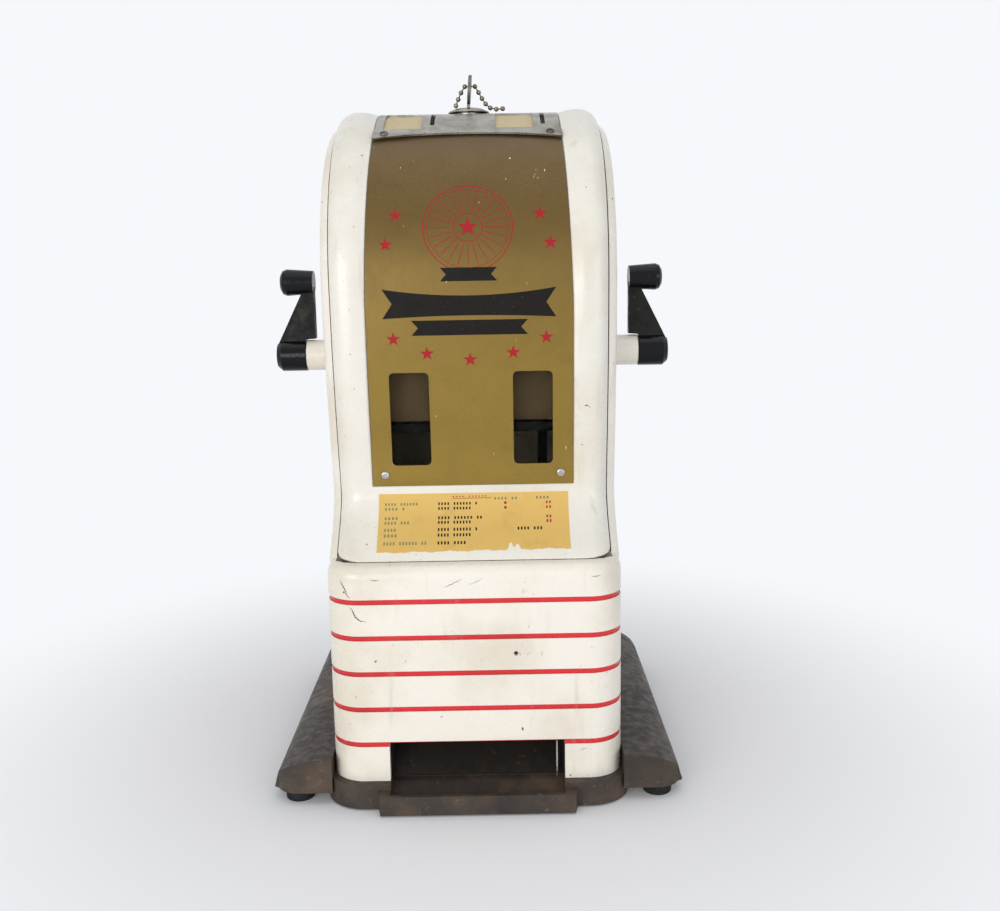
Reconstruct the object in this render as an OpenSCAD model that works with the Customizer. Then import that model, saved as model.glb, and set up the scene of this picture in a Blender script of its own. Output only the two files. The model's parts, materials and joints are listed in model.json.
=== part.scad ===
// Counter-top stamp vending machine with two coin levers, in millimetres.
// X points right, Y to the rear and Z up; the machine stands on z = 0.

/* [Cabinet] */
// Width of the cabinet and of the head above it
cabinet_w = 180; // [172:1:186]
// Distance from the origin to the front of the cabinet
cabinet_front = 111.5; // [110:0.5:113]
// Radius of the cabinet's upright front corners
cabinet_corner_r = 21; // [16:1:24]
// Thickness of the cast walls
cast_wall = 5.5; // [4.5:0.5:6]
// Height of the shoulder in front of the head
shoulder_z = 153; // [152:0.5:154]
// Rounding of the shoulder
shoulder_r = 8; // [5:0.5:8]
// Height of each painted groove
stripe_h = 3; // [2:0.25:4]
// Depth of each painted groove
stripe_depth = 1; // [0.6:0.1:1.4]
// Height of the lowest groove's centre
stripe_low_z = 40.2; // [38:0.2:42]
// Spacing of the grooves
stripe_pitch = 22.6; // [21:0.2:24]
// Number of grooves
stripe_count = 5; // [3:1:5]
// Width of the delivery opening
delivery_w = 107.6; // [100:0.5:110]
// Height of the top of the delivery opening
delivery_top = 41; // [39:0.5:44]

/* [Head] */
// Height of the dome's axis
dome_z = 320; // [316:1:324]
// Distance of the dome's axis behind the origin
dome_y = 24.5; // [23.5:0.5:25]
// Radius of the case's arched top
case_r = 101; // [99:0.5:102]
// Rounding along the arch
arch_edge_r = 9; // [5:0.5:11]
// Radius of the cover's rails, which stand proud of the case
rail_r = 110; // [109:0.5:111]
// Angle past the top at which the cover ends
cover_past_top = 35; // [25:1:40]
// Running gap round the cover
cover_gap = 0.4; // [0.3:0.1:0.6]
// Thickness of the cover's wall
cover_wall = 3; // [2.5:0.25:3.5]
// Width between the two rails
rail_gap = 124.8; // [120:0.2:128]
// How far the face plate lies below the rails
plate_sink = 2.5; // [1.5:0.25:3]
// Thickness of the sheet-metal plates on the cover
plate_t = 1.2; // [0.8:0.1:1.6]
// Distance from the middle to the centre of each magazine and window
magazine_x = 37.6; // [36:0.2:39]
// Width of each window
window_w = 24.2; // [20:0.2:28]
// Height of the windows' lower edge
window_low = 207; // [204:1:212]
// Height of the windows' upper edge
window_high = 265; // [250:1:268]

/* [Base] */
// Width over the two side wings
base_w = 252; // [246:1:256]
// Height of the plinth's top, on which the cabinet stands
plinth_top = 16.5; // [15:0.5:18]
// How far the plinth stands out from the cabinet
plinth_out = 4.5; // [3:0.5:6]
// Height of the wings' crest
wing_crest = 29.5; // [26:0.5:32]
// Depth of the whole machine
overall_depth = 253; // [253:0.5:255]
// Width of the delivery tray at its front
tray_w = 118.6; // [116:0.2:122]
// Diameter of the rubber feet
foot_d = 18; // [16:1:20]
// Height of the rubber feet below the wings
foot_h = 8; // [7:0.5:9]

/* [Levers] */
// Height of the levers' axis
lever_z = 271.4; // [268:0.2:274]
// Distance of the levers' axis in front of the origin
lever_front = 11.5; // [9:0.5:14]
// Distance from the levers' axis up to the grips
lever_reach = 47.8; // [44:0.2:50]
// Gap between the case and the levers' webs
web_gap = 13.6; // [11:0.2:14]
// Diameter of the levers' hubs
hub_d = 20.7; // [19:0.1:22]
// Diameter of the lever shafts
shaft_d = 10; // [9:0.5:11]
// Length of the cranks inside
crank_len = 36; // [35:0.5:37]
// Turn of each lever
lever_turn = 60; // [40:1:60]
// Diameter of the crank pins
crank_pin_d = 5; // [4:0.5:5.5]

/* [Lock] */
// Diameter of the lock's boss
lock_d = 27.5; // [25:0.5:30]
// Diameter of the lock's plug
plug_d = 12; // [10:0.5:14]
// Thickness of the key
key_t = 2; // [1.5:0.25:2.5]
// Diameter of the key's bow
key_bow_d = 20; // [17:0.5:23]
// Lean of the worn key's bow to the right
key_lean = 4.5; // [0:0.5:6]
// Diameter of the beads of the key's chain
bead_d = 3.2; // [2.4:0.2:3.6]

/* [Cash drawer] */
// Width of the cash drawer
drawer_w = 141; // [120:1:144]
// Height of the cash drawer
drawer_h = 91; // [70:1:94]
// Depth of the cash drawer with its front
drawer_depth = 105; // [90:1:107]
// Gap round the drawer
drawer_gap = 0.5; // [0.3:0.1:0.8]

/* [Hidden] */
$fn = 72;
TINY = 0.01;
half_w = cabinet_w / 2;
front_y = -cabinet_front;
rear_y = dome_y + case_r;
inner_half = half_w - cast_wall;
cover_half = inner_half - cover_gap;
rail_half = rail_gap / 2;
base_rear = rear_y + 1;
base_front = base_rear - overall_depth;
plate_gap = 0.3;
seat_gap = 0.05;
run_gap = 0.04;
slide_gap = 0.3;

// The hinge of the cover lies under its apron, over a trough in the shoulder.
hinge_y = front_y + 21;
hinge_z = shoulder_z + 2.5;
hinge_pin_d = 4;
knuckle_d = 7.6;
lug_x = half_w - 33;
lug_t = 7;
trough_r = 12.6;
trough_end = inner_half - 14.5;
trough_floor = trough_r + 2.5;

// The cover's profile in the Y-Z plane: an apron that sweeps back to a waist, a rise, then the dome.
apron_low = [front_y + 9.2, shoulder_z + 0.3];
waist = [front_y + 37.5, shoulder_z + 35];
rise_top = [dome_y - rail_r, dome_z];
cover_end = 90 - cover_past_top;
seam_depth = rail_r - case_r;
seam_stretch = 1.5;
skirt = 5;
skin_run = 11.6;

function bezier(p, t) =
    pow(1 - t, 3) * p[0] + 3 * t * pow(1 - t, 2) * p[1] + 3 * t * t * (1 - t) * p[2] + t * t * t * p[3];
apron_curve = [apron_low, apron_low + [3.3, 7.7], waist + [-3, -16], waist];
rise_curve = [waist, waist + [0, 17], [rise_top[0], dome_z - 70], rise_top];
// s runs from 0 at the apron's foot to 1 at the waist, 2 at the foot of the dome and 3 at the cover's end.
function dome_angle(s) = 180 - (s - 2) * (180 - cover_end);
function inward(s) = s <= 2 ? [1, 0] : -[cos(dome_angle(s)), sin(dome_angle(s))];
function stretch(s) = s >= 2 ? 1 : s <= 1 ? seam_stretch : seam_stretch + (1 - seam_stretch) * (s - 1);
function profile(s) =
    s <= 1 ? bezier(apron_curve, s) : s <= 2 ? bezier(rise_curve, s - 1)
    : [dome_y, dome_z] + rail_r * [cos(dome_angle(s)), sin(dome_angle(s))];
function below(s, depth) = profile(s) + depth * inward(s);
function s_at_z(z, lo = 0, hi = 2) =
    hi - lo < 0.0005 ? lo
    : profile((lo + hi) / 2)[1] < z ? s_at_z(z, (lo + hi) / 2, hi) : s_at_z(z, lo, (lo + hi) / 2);
function s_at_angle(a) = 2 + (180 - a) / (180 - cover_end);
function steps(s0, s1, n) = [for (i = [0:n]) s0 + (s1 - s0) * i / n];
profile_steps = concat(steps(0, 1, 10), [for (s = steps(1, 2, 7)) if (s > 1) s], [for (s = steps(2, 3, 22)) if (s > 2) s]);

// Places along the profile
face_low = s_at_z(waist[1] + 6);
lip_angle = 126.5;
face_high = s_at_angle(lip_angle + 0.15);
plate_low = s_at_angle(lip_angle);
plate_high = s_at_angle(cover_end + 4);

// The mechanism
mag_in = 40;
mag_wall = 1.5;
mag_front = -64;
mag_rear = -30.5;
mag_floor = 232.5;
mag_top = 330;
deck_top = 228.7;
deck_t = 2.7;
deck_half = inner_half - 4;
deck_front = -66;
deck_rear = 54;
pusher_bottom = deck_top + slide_gap;
pusher_t = 3;
pusher_front = mag_front - 7.2;
lever_y = -lever_front;
crank_drop = crank_len * cos(lever_turn / 2);
crank_swing = crank_len * sin(lever_turn / 2);
fork_x = magazine_x + mag_in / 2 + mag_wall + 1.9;
fork_t = 3;
fork_gap = 0.6;
crank_x = fork_x + fork_t + 2;
crank_t = 5;
shaft_end = half_w + 35;
boss_len = 19.5;
boss_d = 20;
bush_d = 14;
chute_t = 1.2;
chute_gap = 3.2;
chute_x = [-22.3, 47.6];
drop_front = mag_rear - 1;
drop_rear = 17;
ramp_t = 2;
drawer_z = plinth_top + drawer_gap;
drawer_front_y = rear_y - drawer_depth;
lock_y = dome_y - 3;
lock_rim = dome_z + rail_r - 1.5;
lock_top = lock_rim + 3;
barrel_d = 19;
barrel_low = 395;
strike_y = 38;
strike_d = 8;
strike_z = barrel_low + strike_d / 2 + 0.6;
key_bow_z = lock_top + 12;
key_hole_z = key_bow_z + 2.8;
key_bend = 1.6;
chain_left = [[-3.4, -0.6, -0.3], [-6, -1.6, -4.4], [-7.9, -3, -8.8], [-9.5, -4.8, -13]];
chain_right = [[3.4, -0.6, -0.3], [5.8, -2, -4.4], [8, -3.8, -8.5], [10.4, -6, -12.3], [13.4, -8.8, -15.3],
    [17.4, -11.2, -16.5], [21.6, -13.4, -16.5]];

CREAM = "#F0ECE1";
IRON = "#554640";
GOLD = "#967D32";
STEEL = "#8A8C8E";
BRIGHT = "#C9CBCC";
BLACK = "#1B1B1C";
PAPER = "#E1C36E";
BRASS = "#B59A4A";

// Outline in plan with its own radius at the front and at the rear corners
module outline(half, front, rear, r_front, r_rear) {
    translate([-half, front + r_front]) square([2 * half, rear - r_rear - front - r_front]);
    for (end = [[front, r_front, 1], [rear, r_rear, -1]]) {
        r = end[1];
        translate([-half + r, min(end[0], end[0] + end[2] * r)]) square([2 * (half - r), r]);
        for (side = [-1, 1]) translate([side * (half - r), end[0] + end[2] * r]) circle(r);
    }
}

// Extrudes an outline drawn in (Y, Z) along X
module along_x(x0, x1) {
    translate([x0, 0, 0]) rotate([90, 0, 90]) linear_extrude(x1 - x0) children();
}

module box(x0, x1, y0, y1, z0, z1) {
    translate([x0, y0, z0]) cube([x1 - x0, y1 - y0, z1 - z0]);
}

module rod_x(x0, x1, y, z, d) {
    translate([x0, y, z]) rotate([0, 90, 0]) cylinder(h = x1 - x0, d = d);
}

module mirrored() {
    mirror([1, 0, 0]) children();
}

// A band of sheet that follows the cover's profile between two depths
module band(s0, s1, depth0, depth1, x0, x1) {
    places = concat([s0], [for (s = profile_steps) if (s > s0 + 0.001 && s < s1 - 0.001) s], [s1]);
    n = len(places) - 1;
    outer = [for (s = places) below(s, depth0)];
    inner = [for (i = [n:-1:0]) below(places[i], depth1)];
    along_x(x0, x1) polygon(concat(outer, inner));
}

// ---- Base ----

module wing() {
    rise = wing_crest - 15;
    reach = base_w / 2 - half_w - 7;
    crown = [for (a = [90:-10:0]) [half_w + 7 + reach * cos(a), 15 + rise * sin(a)]];
    intersection() {
        translate([0, base_rear, 0]) rotate([90, 0, 0]) linear_extrude(overall_depth)
            polygon(concat([[half_w + 0.3, wing_crest]], crown, [[base_w / 2, foot_h], [half_w + 0.3, foot_h]]));
        linear_extrude(60) outline(base_w / 2, front_y + 2, base_rear - 0.5, 14, 14);
    }
}

// Plan places of the four feet
foot_x = base_w / 2 - (base_w / 2 - half_w - plinth_out) * 3 / 7;
function foot_places() = [for (x = [-1, 1], y = [front_y + 15.5, base_rear - 14]) [x * foot_x, y]];
// Plan places of the four bolts between base and cabinet
function bolt_places() = [for (x = [-1, 1], y = [front_y + 25, drawer_front_y - 7]) [x * (half_w - 11), y]];

module base_casting() {
    tray_back = front_y + 12;
    color(IRON) difference() {
        union() {
            translate([0, 0, 1]) linear_extrude(plinth_top - 1)
                outline(half_w + plinth_out, front_y - 6, base_rear, cabinet_corner_r + plinth_out, 12);
            wing();
            mirrored() wing();
            translate([0, 0, 1]) linear_extrude(plinth_top - 4.5)
                polygon([[-tray_w / 2, base_front], [tray_w / 2, base_front], [tray_w / 2 + 3, front_y],
                    [-tray_w / 2 - 3, front_y]]);
        }
        // The tray's sloping floor
        along_x(-tray_w / 2 + 6, tray_w / 2 - 6)
            polygon([[base_front + 3, 20], [base_front + 3, 5.5], [tray_back, plinth_top - 3], [tray_back, 20]]);
        // Hollow underside
        translate([0, 0, -1]) linear_extrude(plinth_top - 5)
            outline(half_w - 3, tray_back + 4, base_rear - 5, 8, 8);
        for (p = foot_places()) translate([p[0], p[1], foot_h - 1]) cylinder(h = 9, d = 4 + 2 * seat_gap);
        for (p = bolt_places()) translate([p[0], p[1], 0]) cylinder(h = 30, d = 6.4);
    }
}

module rubber_feet() {
    color(BLACK) for (p = foot_places()) translate([p[0], p[1], 0]) difference() {
        cylinder(h = foot_h, d = foot_d);
        translate([0, 0, -1]) cylinder(h = foot_h + 2, d = 4.4);
        translate([0, 0, -1]) cylinder(h = 4, d = 9);
    }
}

module foot_screws() {
    color(STEEL) for (p = foot_places()) translate([p[0], p[1], 0]) {
        translate([0, 0, 3 + seat_gap - 2.2]) cylinder(h = 2.15, d = 8);
        translate([0, 0, 2]) cylinder(h = foot_h + 4.5, d = 4);
    }
}

module base_bolts() {
    seat = plinth_top - 6;
    color(STEEL) for (p = bolt_places()) translate([p[0], p[1], 0]) {
        translate([0, 0, seat - 4 - seat_gap]) cylinder(h = 4, d = 10, $fn = 6);
        translate([0, 0, seat - 1]) cylinder(h = 21, d = 6);
    }
}

// ---- Cabinet and head, one casting ----

module cabinet_block() {
    translate([0, 0, plinth_top]) linear_extrude(shoulder_z - shoulder_r - plinth_top)
        outline(half_w, front_y, rear_y, cabinet_corner_r, arch_edge_r);
    hull() for (a = [0:15:90]) let (fall = shoulder_r * (1 - cos(a)))
        translate([0, 0, shoulder_z - shoulder_r + (shoulder_r - 0.1) * sin(a)])
            linear_extrude(0.1) outline(half_w - fall, front_y + fall, 0, cabinet_corner_r - fall, 1, $fn = 48);
}

module head_block() {
    low = shoulder_z - shoulder_r - 4;
    seam = [for (s = steps(0, 2, 16)) below(s, seam_depth * stretch(s))];
    intersection() {
        union() {
            translate([0, 0, low]) linear_extrude(dome_z - low)
                outline(half_w, dome_y - case_r, rear_y, arch_edge_r, arch_edge_r);
            // The foot of the head flares forward to meet the apron.
            along_x(-half_w, half_w)
                polygon([[0, low], [seam[0][0], low], for (p = seam) if (p[1] < waist[1] - 8) p, [0, waist[1]]]);
        }
        along_x(-half_w, half_w)
            polygon(concat([[seam[0][0], low]], seam, [[rear_y, dome_z], [rear_y, low]]));
    }
    translate([0, dome_y, dome_z]) rotate([90, 0, 90]) rotate_extrude(angle = 180) {
        translate([0, -half_w]) square([case_r - arch_edge_r, cabinet_w]);
        translate([0, -half_w + arch_edge_r]) square([case_r, cabinet_w - 2 * arch_edge_r]);
        for (side = [-1, 1]) translate([case_r - arch_edge_r, side * (half_w - arch_edge_r)]) circle(arch_edge_r);
    }
}

module case_hollow() {
    top_in = shoulder_z - trough_floor;
    translate([0, 0, plinth_top - 1]) linear_extrude(top_in - plinth_top + 1)
        outline(inner_half, front_y + cast_wall, rear_y - cast_wall, cabinet_corner_r - cast_wall, 4);
    along_x(-inner_half, inner_half) {
        translate([dome_y, dome_z]) circle(case_r - cast_wall);
        translate([hinge_y + trough_r, top_in - 1])
            square([rear_y - cast_wall - hinge_y - trough_r, dome_z - top_in + 1]);
        translate([front_y - 20, shoulder_z]) square([dome_y - front_y + 20, dome_z - shoulder_z]);
    }
    // The slot for the cover, from the front over the top
    end = cover_end - cover_gap / rail_r * 57.3;
    along_x(-inner_half, inner_half)
        polygon([[dome_y, dome_z], [dome_y - 150, dome_z], [dome_y - 150, dome_z + 150],
            [dome_y + 150 * cos(end), dome_z + 150 * sin(end)]]);
    // Trough that the apron's foot swings through, narrower at its ends
    rod_x(-trough_end, trough_end, hinge_y, hinge_z, 2 * trough_r);
    for (side = [-1, 1]) translate([side * trough_end, hinge_y, hinge_z]) rotate([0, side * 90, 0]) {
        cylinder(h = 9, r1 = trough_r, r2 = trough_r - 2.1);
        translate([0, 0, 9]) cylinder(h = inner_half - trough_end - 9, r1 = trough_r - 2.1, r2 = trough_r - 7);
    }
}

module hinge_lug() {
    difference() {
        union() {
            rod_x(lug_x, lug_x + lug_t, hinge_y, hinge_z, knuckle_d);
            box(lug_x, lug_x + lug_t, hinge_y + 1.6, hinge_y + 9, shoulder_z - trough_floor + 1, hinge_z);
        }
        rod_x(lug_x - 1, lug_x + lug_t + 1, hinge_y, hinge_z, hinge_pin_d + 2 * run_gap);
    }
}

module case_side() {
    // Boss for the lever's bush
    rod_x(half_w - 1, half_w + boss_len, lever_y, lever_z, boss_d);
    // Ledge for the deck
    box(deck_half - 4, inner_half + 1, -50, 48, deck_top - deck_t - 6, deck_top - deck_t);
    hinge_lug();
    for (p = bolt_places()) if (p[0] > 0) translate([p[0], p[1], plinth_top]) cylinder(h = 24, d = 12);
}

module case_side_holes() {
    rod_x(half_w - cast_wall - 2, half_w + boss_len + 1, lever_y, lever_z, bush_d + 2 * seat_gap);
    for (p = bolt_places()) if (p[0] > 0) translate([p[0], p[1], 0]) cylinder(h = 36.5, d = 6.1);
    for (y = [-42, 38]) translate([deck_half - 2, y, deck_top - 20]) cylinder(h = 20, d = 3.1);
}

module cabinet_case() {
    color(CREAM) difference() {
        union() {
            difference() {
                union() {
                    cabinet_block();
                    head_block();
                }
                case_hollow();
            }
            case_side();
            mirrored() case_side();
        }
        case_side_holes();
        mirrored() case_side_holes();
        for (i = [0:stripe_count - 1]) translate([0, 0, stripe_low_z + i * stripe_pitch - stripe_h / 2])
            linear_extrude(stripe_h) difference() {
                outline(half_w + 1, front_y - 1, rear_y + 1, cabinet_corner_r + 1, arch_edge_r + 1);
                outline(half_w - stripe_depth, front_y + stripe_depth, rear_y + 2,
                    cabinet_corner_r - stripe_depth, 1);
            }
        box(-delivery_w / 2, delivery_w / 2, front_y - 1, front_y + cast_wall + 1, plinth_top - 1, delivery_top);
        box(-drawer_w / 2 - drawer_gap, drawer_w / 2 + drawer_gap, rear_y - cast_wall - 2, rear_y + 1,
            plinth_top - 1, drawer_z + drawer_h + drawer_gap);
        // Seats of the strike bar
        rod_x(inner_half - 2, inner_half + 3, strike_y, strike_z, strike_d + 2 * seat_gap);
        rod_x(-inner_half - 3, -inner_half + 2, strike_y, strike_z, strike_d + 2 * seat_gap);
    }
}

module drawer_runners() {
    inside = drawer_w / 2 + drawer_gap;
    color(STEEL) for (side = [0, 1]) mirror([side, 0, 0])
        box(inside, inside + 3, drawer_front_y, rear_y - cast_wall - 0.5 - 12, plinth_top, plinth_top + 16);
}

module cash_drawer() {
    t = 1.5;
    rear = rear_y - cast_wall;
    color(STEEL) difference() {
        box(-drawer_w / 2, drawer_w / 2, drawer_front_y, rear, drawer_z, drawer_z + drawer_h - 3);
        box(-drawer_w / 2 + t, drawer_w / 2 - t, drawer_front_y + t, rear - t, drawer_z + t, drawer_z + drawer_h);
    }
}

module drawer_face() {
    color(CREAM) difference() {
        box(-drawer_w / 2, drawer_w / 2, rear_y - cast_wall, rear_y, drawer_z, drawer_z + drawer_h);
        // Finger recess
        translate([0, rear_y + 1, drawer_z + drawer_h * 0.6]) rotate([90, 0, 0]) linear_extrude(cast_wall - 1)
            for (side = [-1, 1]) {
                translate([side * 14, 0]) circle(9);
                translate([-14, -9]) square([28, 18]);
            }
    }
}

// ---- Mechanism, one side drawn at +X and mirrored for the other ----

module mechanism_deck() {
    color(STEEL) difference() {
        box(-deck_half, deck_half, deck_front, deck_rear, deck_top - deck_t, deck_top);
        for (side = [-1, 1]) {
            box(side * magazine_x - mag_in / 2 - 1, side * magazine_x + mag_in / 2 + 1, drop_front, drop_rear,
                deck_top - 10, deck_top + 10);
            for (y = [-42, 38]) translate([side * (deck_half - 2), y, deck_top - 10]) cylinder(h = 20, d = 3.1);
            for (y = [-57, -37]) translate([side * (magazine_x - mag_in / 2 - mag_wall - 5), y, deck_top - 10])
                cylinder(h = 20, d = 3.1);
        }
        for (x = chute_x) box(x - chute_gap / 2 - chute_t - 0.1, x + chute_gap / 2 + chute_t + 0.1, 20.9, 50.3,
            deck_top - 10, deck_top + 10);
    }
}

module deck_screws() {
    foot_x = magazine_x - mag_in / 2 - mag_wall - 5;
    color(BRIGHT) for (side = [-1, 1]) {
        for (y = [-42, 38]) translate([side * (deck_half - 2), y, deck_top + seat_gap]) {
            cylinder(h = 2, d = 4.4);
            translate([0, 0, -7.5]) cylinder(h = 8, d = 3);
        }
        for (y = [-57, -37]) translate([side * foot_x, y, deck_top + mag_wall + seat_gap]) {
            cylinder(h = 2, d = 5.5);
            translate([0, 0, -6]) cylinder(h = 6.5, d = 3);
        }
    }
}

module magazine() {
    in = magazine_x - mag_in / 2;
    out = magazine_x + mag_in / 2;
    color(STEEL) difference() {
        union() {
            box(in - mag_wall, in, mag_front, mag_rear, deck_top, mag_top);
            box(out, out + mag_wall, mag_front, mag_rear, mag_floor, mag_top);
            box(in - mag_wall, out + mag_wall, mag_rear - mag_wall, mag_rear, mag_floor, mag_top);
            box(in - mag_wall - 9, in, mag_front, mag_rear, deck_top, deck_top + mag_wall);
        }
        for (y = [-57, -37]) translate([in - mag_wall - 5, y, deck_top - 1]) cylinder(h = 5, d = 3.1);
    }
}

module magazine_left() { mirrored() magazine(); }
module magazine_right() { magazine(); }

// A bent chute that takes a coin from its slot down to the cash drawer
module coin_chute(x) {
    w = chute_gap / 2;
    wall = [[-12, 404], [14, 412], [50.2, 336], [50.2, 112], [21, 112], [21, 330]];
    bore = [[-12.9, 409.1], [10.8, 416], [49, 335.7], [49, 110], [22.2, 110], [22.2, 330.3]];
    color(STEEL) difference() {
        along_x(x - w - chute_t, x + w + chute_t) polygon(wall);
        along_x(x - w, x + w) polygon(bore);
    }
}

module coin_chute_left() { coin_chute(chute_x[0]); }
module coin_chute_right() { coin_chute(chute_x[1]); }

module delivery_ramp() {
    w = delivery_w / 2 - 1.5;
    high = [drop_rear + 1, 150];
    low = [front_y + cast_wall + 1, plinth_top + 1];
    color(STEEL) {
        along_x(-w, w) polygon([low, high, high + [1.4, -1.4] * ramp_t / 2, [low[0] + 8, plinth_top],
            [low[0], plinth_top]]);
        // Side cheeks that stand on the base
        for (side = [0, 1]) mirror([side, 0, 0]) along_x(w, w + ramp_t)
            polygon([[low[0], plinth_top], low + [0, 20], high + [0, 20], high, [low[0] + 60, plinth_top]]);
    }
}

module guide_strip() {
    color(BRIGHT) box(delivery_w / 2 - 1.3, delivery_w / 2 - 0.2, front_y + 0.4, front_y + cast_wall,
        plinth_top, delivery_top - 1);
}

module bush() {
    color(BRASS) difference() {
        union() {
            rod_x(inner_half, half_w + boss_len, lever_y, lever_z, bush_d);
            rod_x(inner_half - 2, inner_half - seat_gap, lever_y, lever_z, bush_d + 5);
        }
        rod_x(inner_half - 3, half_w + boss_len + 1, lever_y, lever_z, shaft_d + 2 * run_gap);
    }
}

module bush_left() { mirrored() bush(); }
module bush_right() { bush(); }

// Torsion spring wound round the shaft; its outer leg lies against the case.
module return_spring() {
    wire = 1.2;
    turns = 4;
    r = shaft_d / 2 + 1.8;
    sides = 6;
    per_turn = 14;
    x0 = crank_x + crank_t + 1.5;
    pitch = (inner_half - 2.6 - wire - x0) / turns;
    n = turns * per_turn;
    ring = [for (i = [0:n], k = [0:sides - 1])
        let (a = 360 * i / per_turn, q = r + wire / 2 * cos(60 * k))
        [x0 + wire / 2 + pitch * i / per_turn + wire / 2 * sin(60 * k), lever_y + q * cos(a), lever_z + q * sin(a)]];
    wall = [for (i = [0:n - 1], k = [0:sides - 1])
        let (p = i * sides + k, q = i * sides + (k + 1) % sides) [p, q, q + sides, p + sides]];
    ends = [[for (k = [sides - 1:-1:0]) k], [for (k = [0:sides - 1]) n * sides + k]];
    color(STEEL) polyhedron(ring, concat(wall, ends));
}

module return_spring_left() { mirrored() return_spring(); }
module return_spring_right() { return_spring(); }

module strike_bar() {
    color(STEEL) rod_x(-inner_half - 2.9, inner_half + 2.9, strike_y, strike_z, strike_d);
}

// ---- Cover ----

// Half of the cover's cross-section: distance in from the side and depth below the rail's crown,
// for the outer skin and for the inner skin
module cover_skin() {
    d = seam_depth;
    c = cover_half;
    outer = [[0, d + skirt], [0, d], [0.8, d * 0.6], [2.9, d * 0.3], [6.4, d * 0.08], [11, 0]];
    inner = [[cover_wall, d + skirt], [cover_wall, d + 0.5], [3.7, d * 0.86], [5.2, d * 0.6],
        [7.6, d * 0.42], [skin_run, cover_wall]];
    m = len(outer);
    both = [for (row = [outer, inner]) [for (j = [0:2 * m - 1])
        j < m ? [1, row[j][0], row[j][1]] : [-1, row[2 * m - 1 - j][0], row[2 * m - 1 - j][1]]]];
    n = len(profile_steps);
    w = 2 * m;
    points = [for (skin = both, s = profile_steps, q = skin)
        let (p = below(s, q[2] * stretch(s))) [q[0] * (c - q[1] * sqrt(stretch(s))), p[0], p[1]]];
    last = n * w;
    outside = [for (i = [0:n - 2], j = [0:w - 2])
        [i * w + j, i * w + j + 1, (i + 1) * w + j + 1, (i + 1) * w + j]];
    inside = [for (i = [0:n - 2], j = [0:w - 2])
        [last + (i + 1) * w + j, last + (i + 1) * w + j + 1, last + i * w + j + 1, last + i * w + j]];
    sides = [for (i = [0:n - 2], j = [0, w - 1]) let (a = i * w + j, b = a + w)
        j == 0 ? [a, b, last + b, last + a] : [last + a, last + b, b, a]];
    feet = [for (i = [0, n - 1], j = [0:w - 2]) let (a = i * w + j, b = a + 1)
        i == 0 ? [b, a, last + a, last + b] : [a, b, last + b, last + a]];
    polyhedron(points, concat(outside, inside, sides, feet));
}

module cover_shell() {
    seat = plate_sink + plate_t;
    deep = seat + 3;
    ledge = 4;
    sill_z = window_low - 2.5;
    color(CREAM) difference() {
        cover_skin();
        // Recess for the face plate and the coin plate, open behind them
        band(face_low - 0.002, plate_high, -10, 30, -rail_half, rail_half);
    }
    // Ledge round the opening, on which the plates lie
    color(CREAM) difference() {
        union() {
            for (side = [0, 1]) mirror([side, 0, 0]) {
                band(face_low - 0.02, plate_high + 0.02, seat, deep, rail_half - ledge, rail_half + 3);
                band(face_low - 0.02, plate_high + 0.02, 1.5, deep, rail_half + 0.5, rail_half + 3);
            }
            band(face_low - 0.02, s_at_z(sill_z), seat, deep, -rail_half, rail_half);
            band(face_low - 0.02, face_low - 0.002, 1.5, deep, -rail_half, rail_half);
            band(plate_high - 0.03, plate_high + 0.02, seat, deep, -rail_half, rail_half);
            band(plate_high + 0.002, plate_high + 0.02, 1.5, deep, -rail_half, rail_half);
        }
        face_screw_holes();
    }
}

module cover_hinge() {
    x0 = lug_x + lug_t + slide_gap;
    flat_half = cover_half - skin_run * sqrt(seam_stretch) - seat_gap;
    color(STEEL) for (side = [0, 1]) mirror([side, 0, 0]) for (x = [lug_x - slide_gap - 8, x0]) difference() {
        union() {
            rod_x(x, x + 8, hinge_y, hinge_z, knuckle_d);
            // Tongue that lies under the apron
            intersection() {
                band(0.2, 0.8, cover_wall * seam_stretch + 0.05, cover_wall * seam_stretch + 8, x, x + 8);
                box(x, min(x + 8, flat_half), hinge_y - 20, hinge_y + 10.5, hinge_z, hinge_z + 30);
            }
        }
        rod_x(x - 1, x + 9, hinge_y, hinge_z, hinge_pin_d + 2 * seat_gap);
    }
}

module hinge_pins() {
    x0 = lug_x - slide_gap - 8;
    color(STEEL) for (side = [0, 1]) mirror([side, 0, 0])
        rod_x(x0, x0 + 16 + lug_t + 2 * slide_gap, hinge_y, hinge_z, hinge_pin_d);
}

// A window's opening, with rounded corners, cut from the front
module window_hole(x) {
    r = 3;
    hull() for (sx = [-1, 1], z = [window_low + r, window_high - r])
        translate([x + sx * (window_w / 2 - r), -60, z]) rotate([90, 0, 0]) cylinder(h = 60, r = r, $fn = 24);
}

module face_plate() {
    color(GOLD) difference() {
        band(face_low, face_high, plate_sink, plate_sink + plate_t - seat_gap, -rail_half + plate_gap,
            rail_half - plate_gap);
        window_hole(-magazine_x);
        window_hole(magazine_x);
        face_screw_holes();
    }
}

module face_screw_holes() {
    for (x = [-1, 1]) translate([x * (rail_half - 8), 0, waist[1] + 13]) rotate([90, 0, 0])
        cylinder(h = 120, d = 3.2);
}

module face_screws() {
    z = waist[1] + 13;
    y = below(s_at_z(z), plate_sink)[0] - 0.4;
    color(BRIGHT) for (x = [-1, 1]) translate([x * (rail_half - 8), y, z]) rotate([90, 0, 0]) {
        translate([0, 0, -6]) cylinder(h = 7, d = 3);
        intersection() {
            translate([0, 0, -1.7]) sphere(r = 3.3);
            cylinder(h = 3, d = 8);
        }
    }
}

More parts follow.
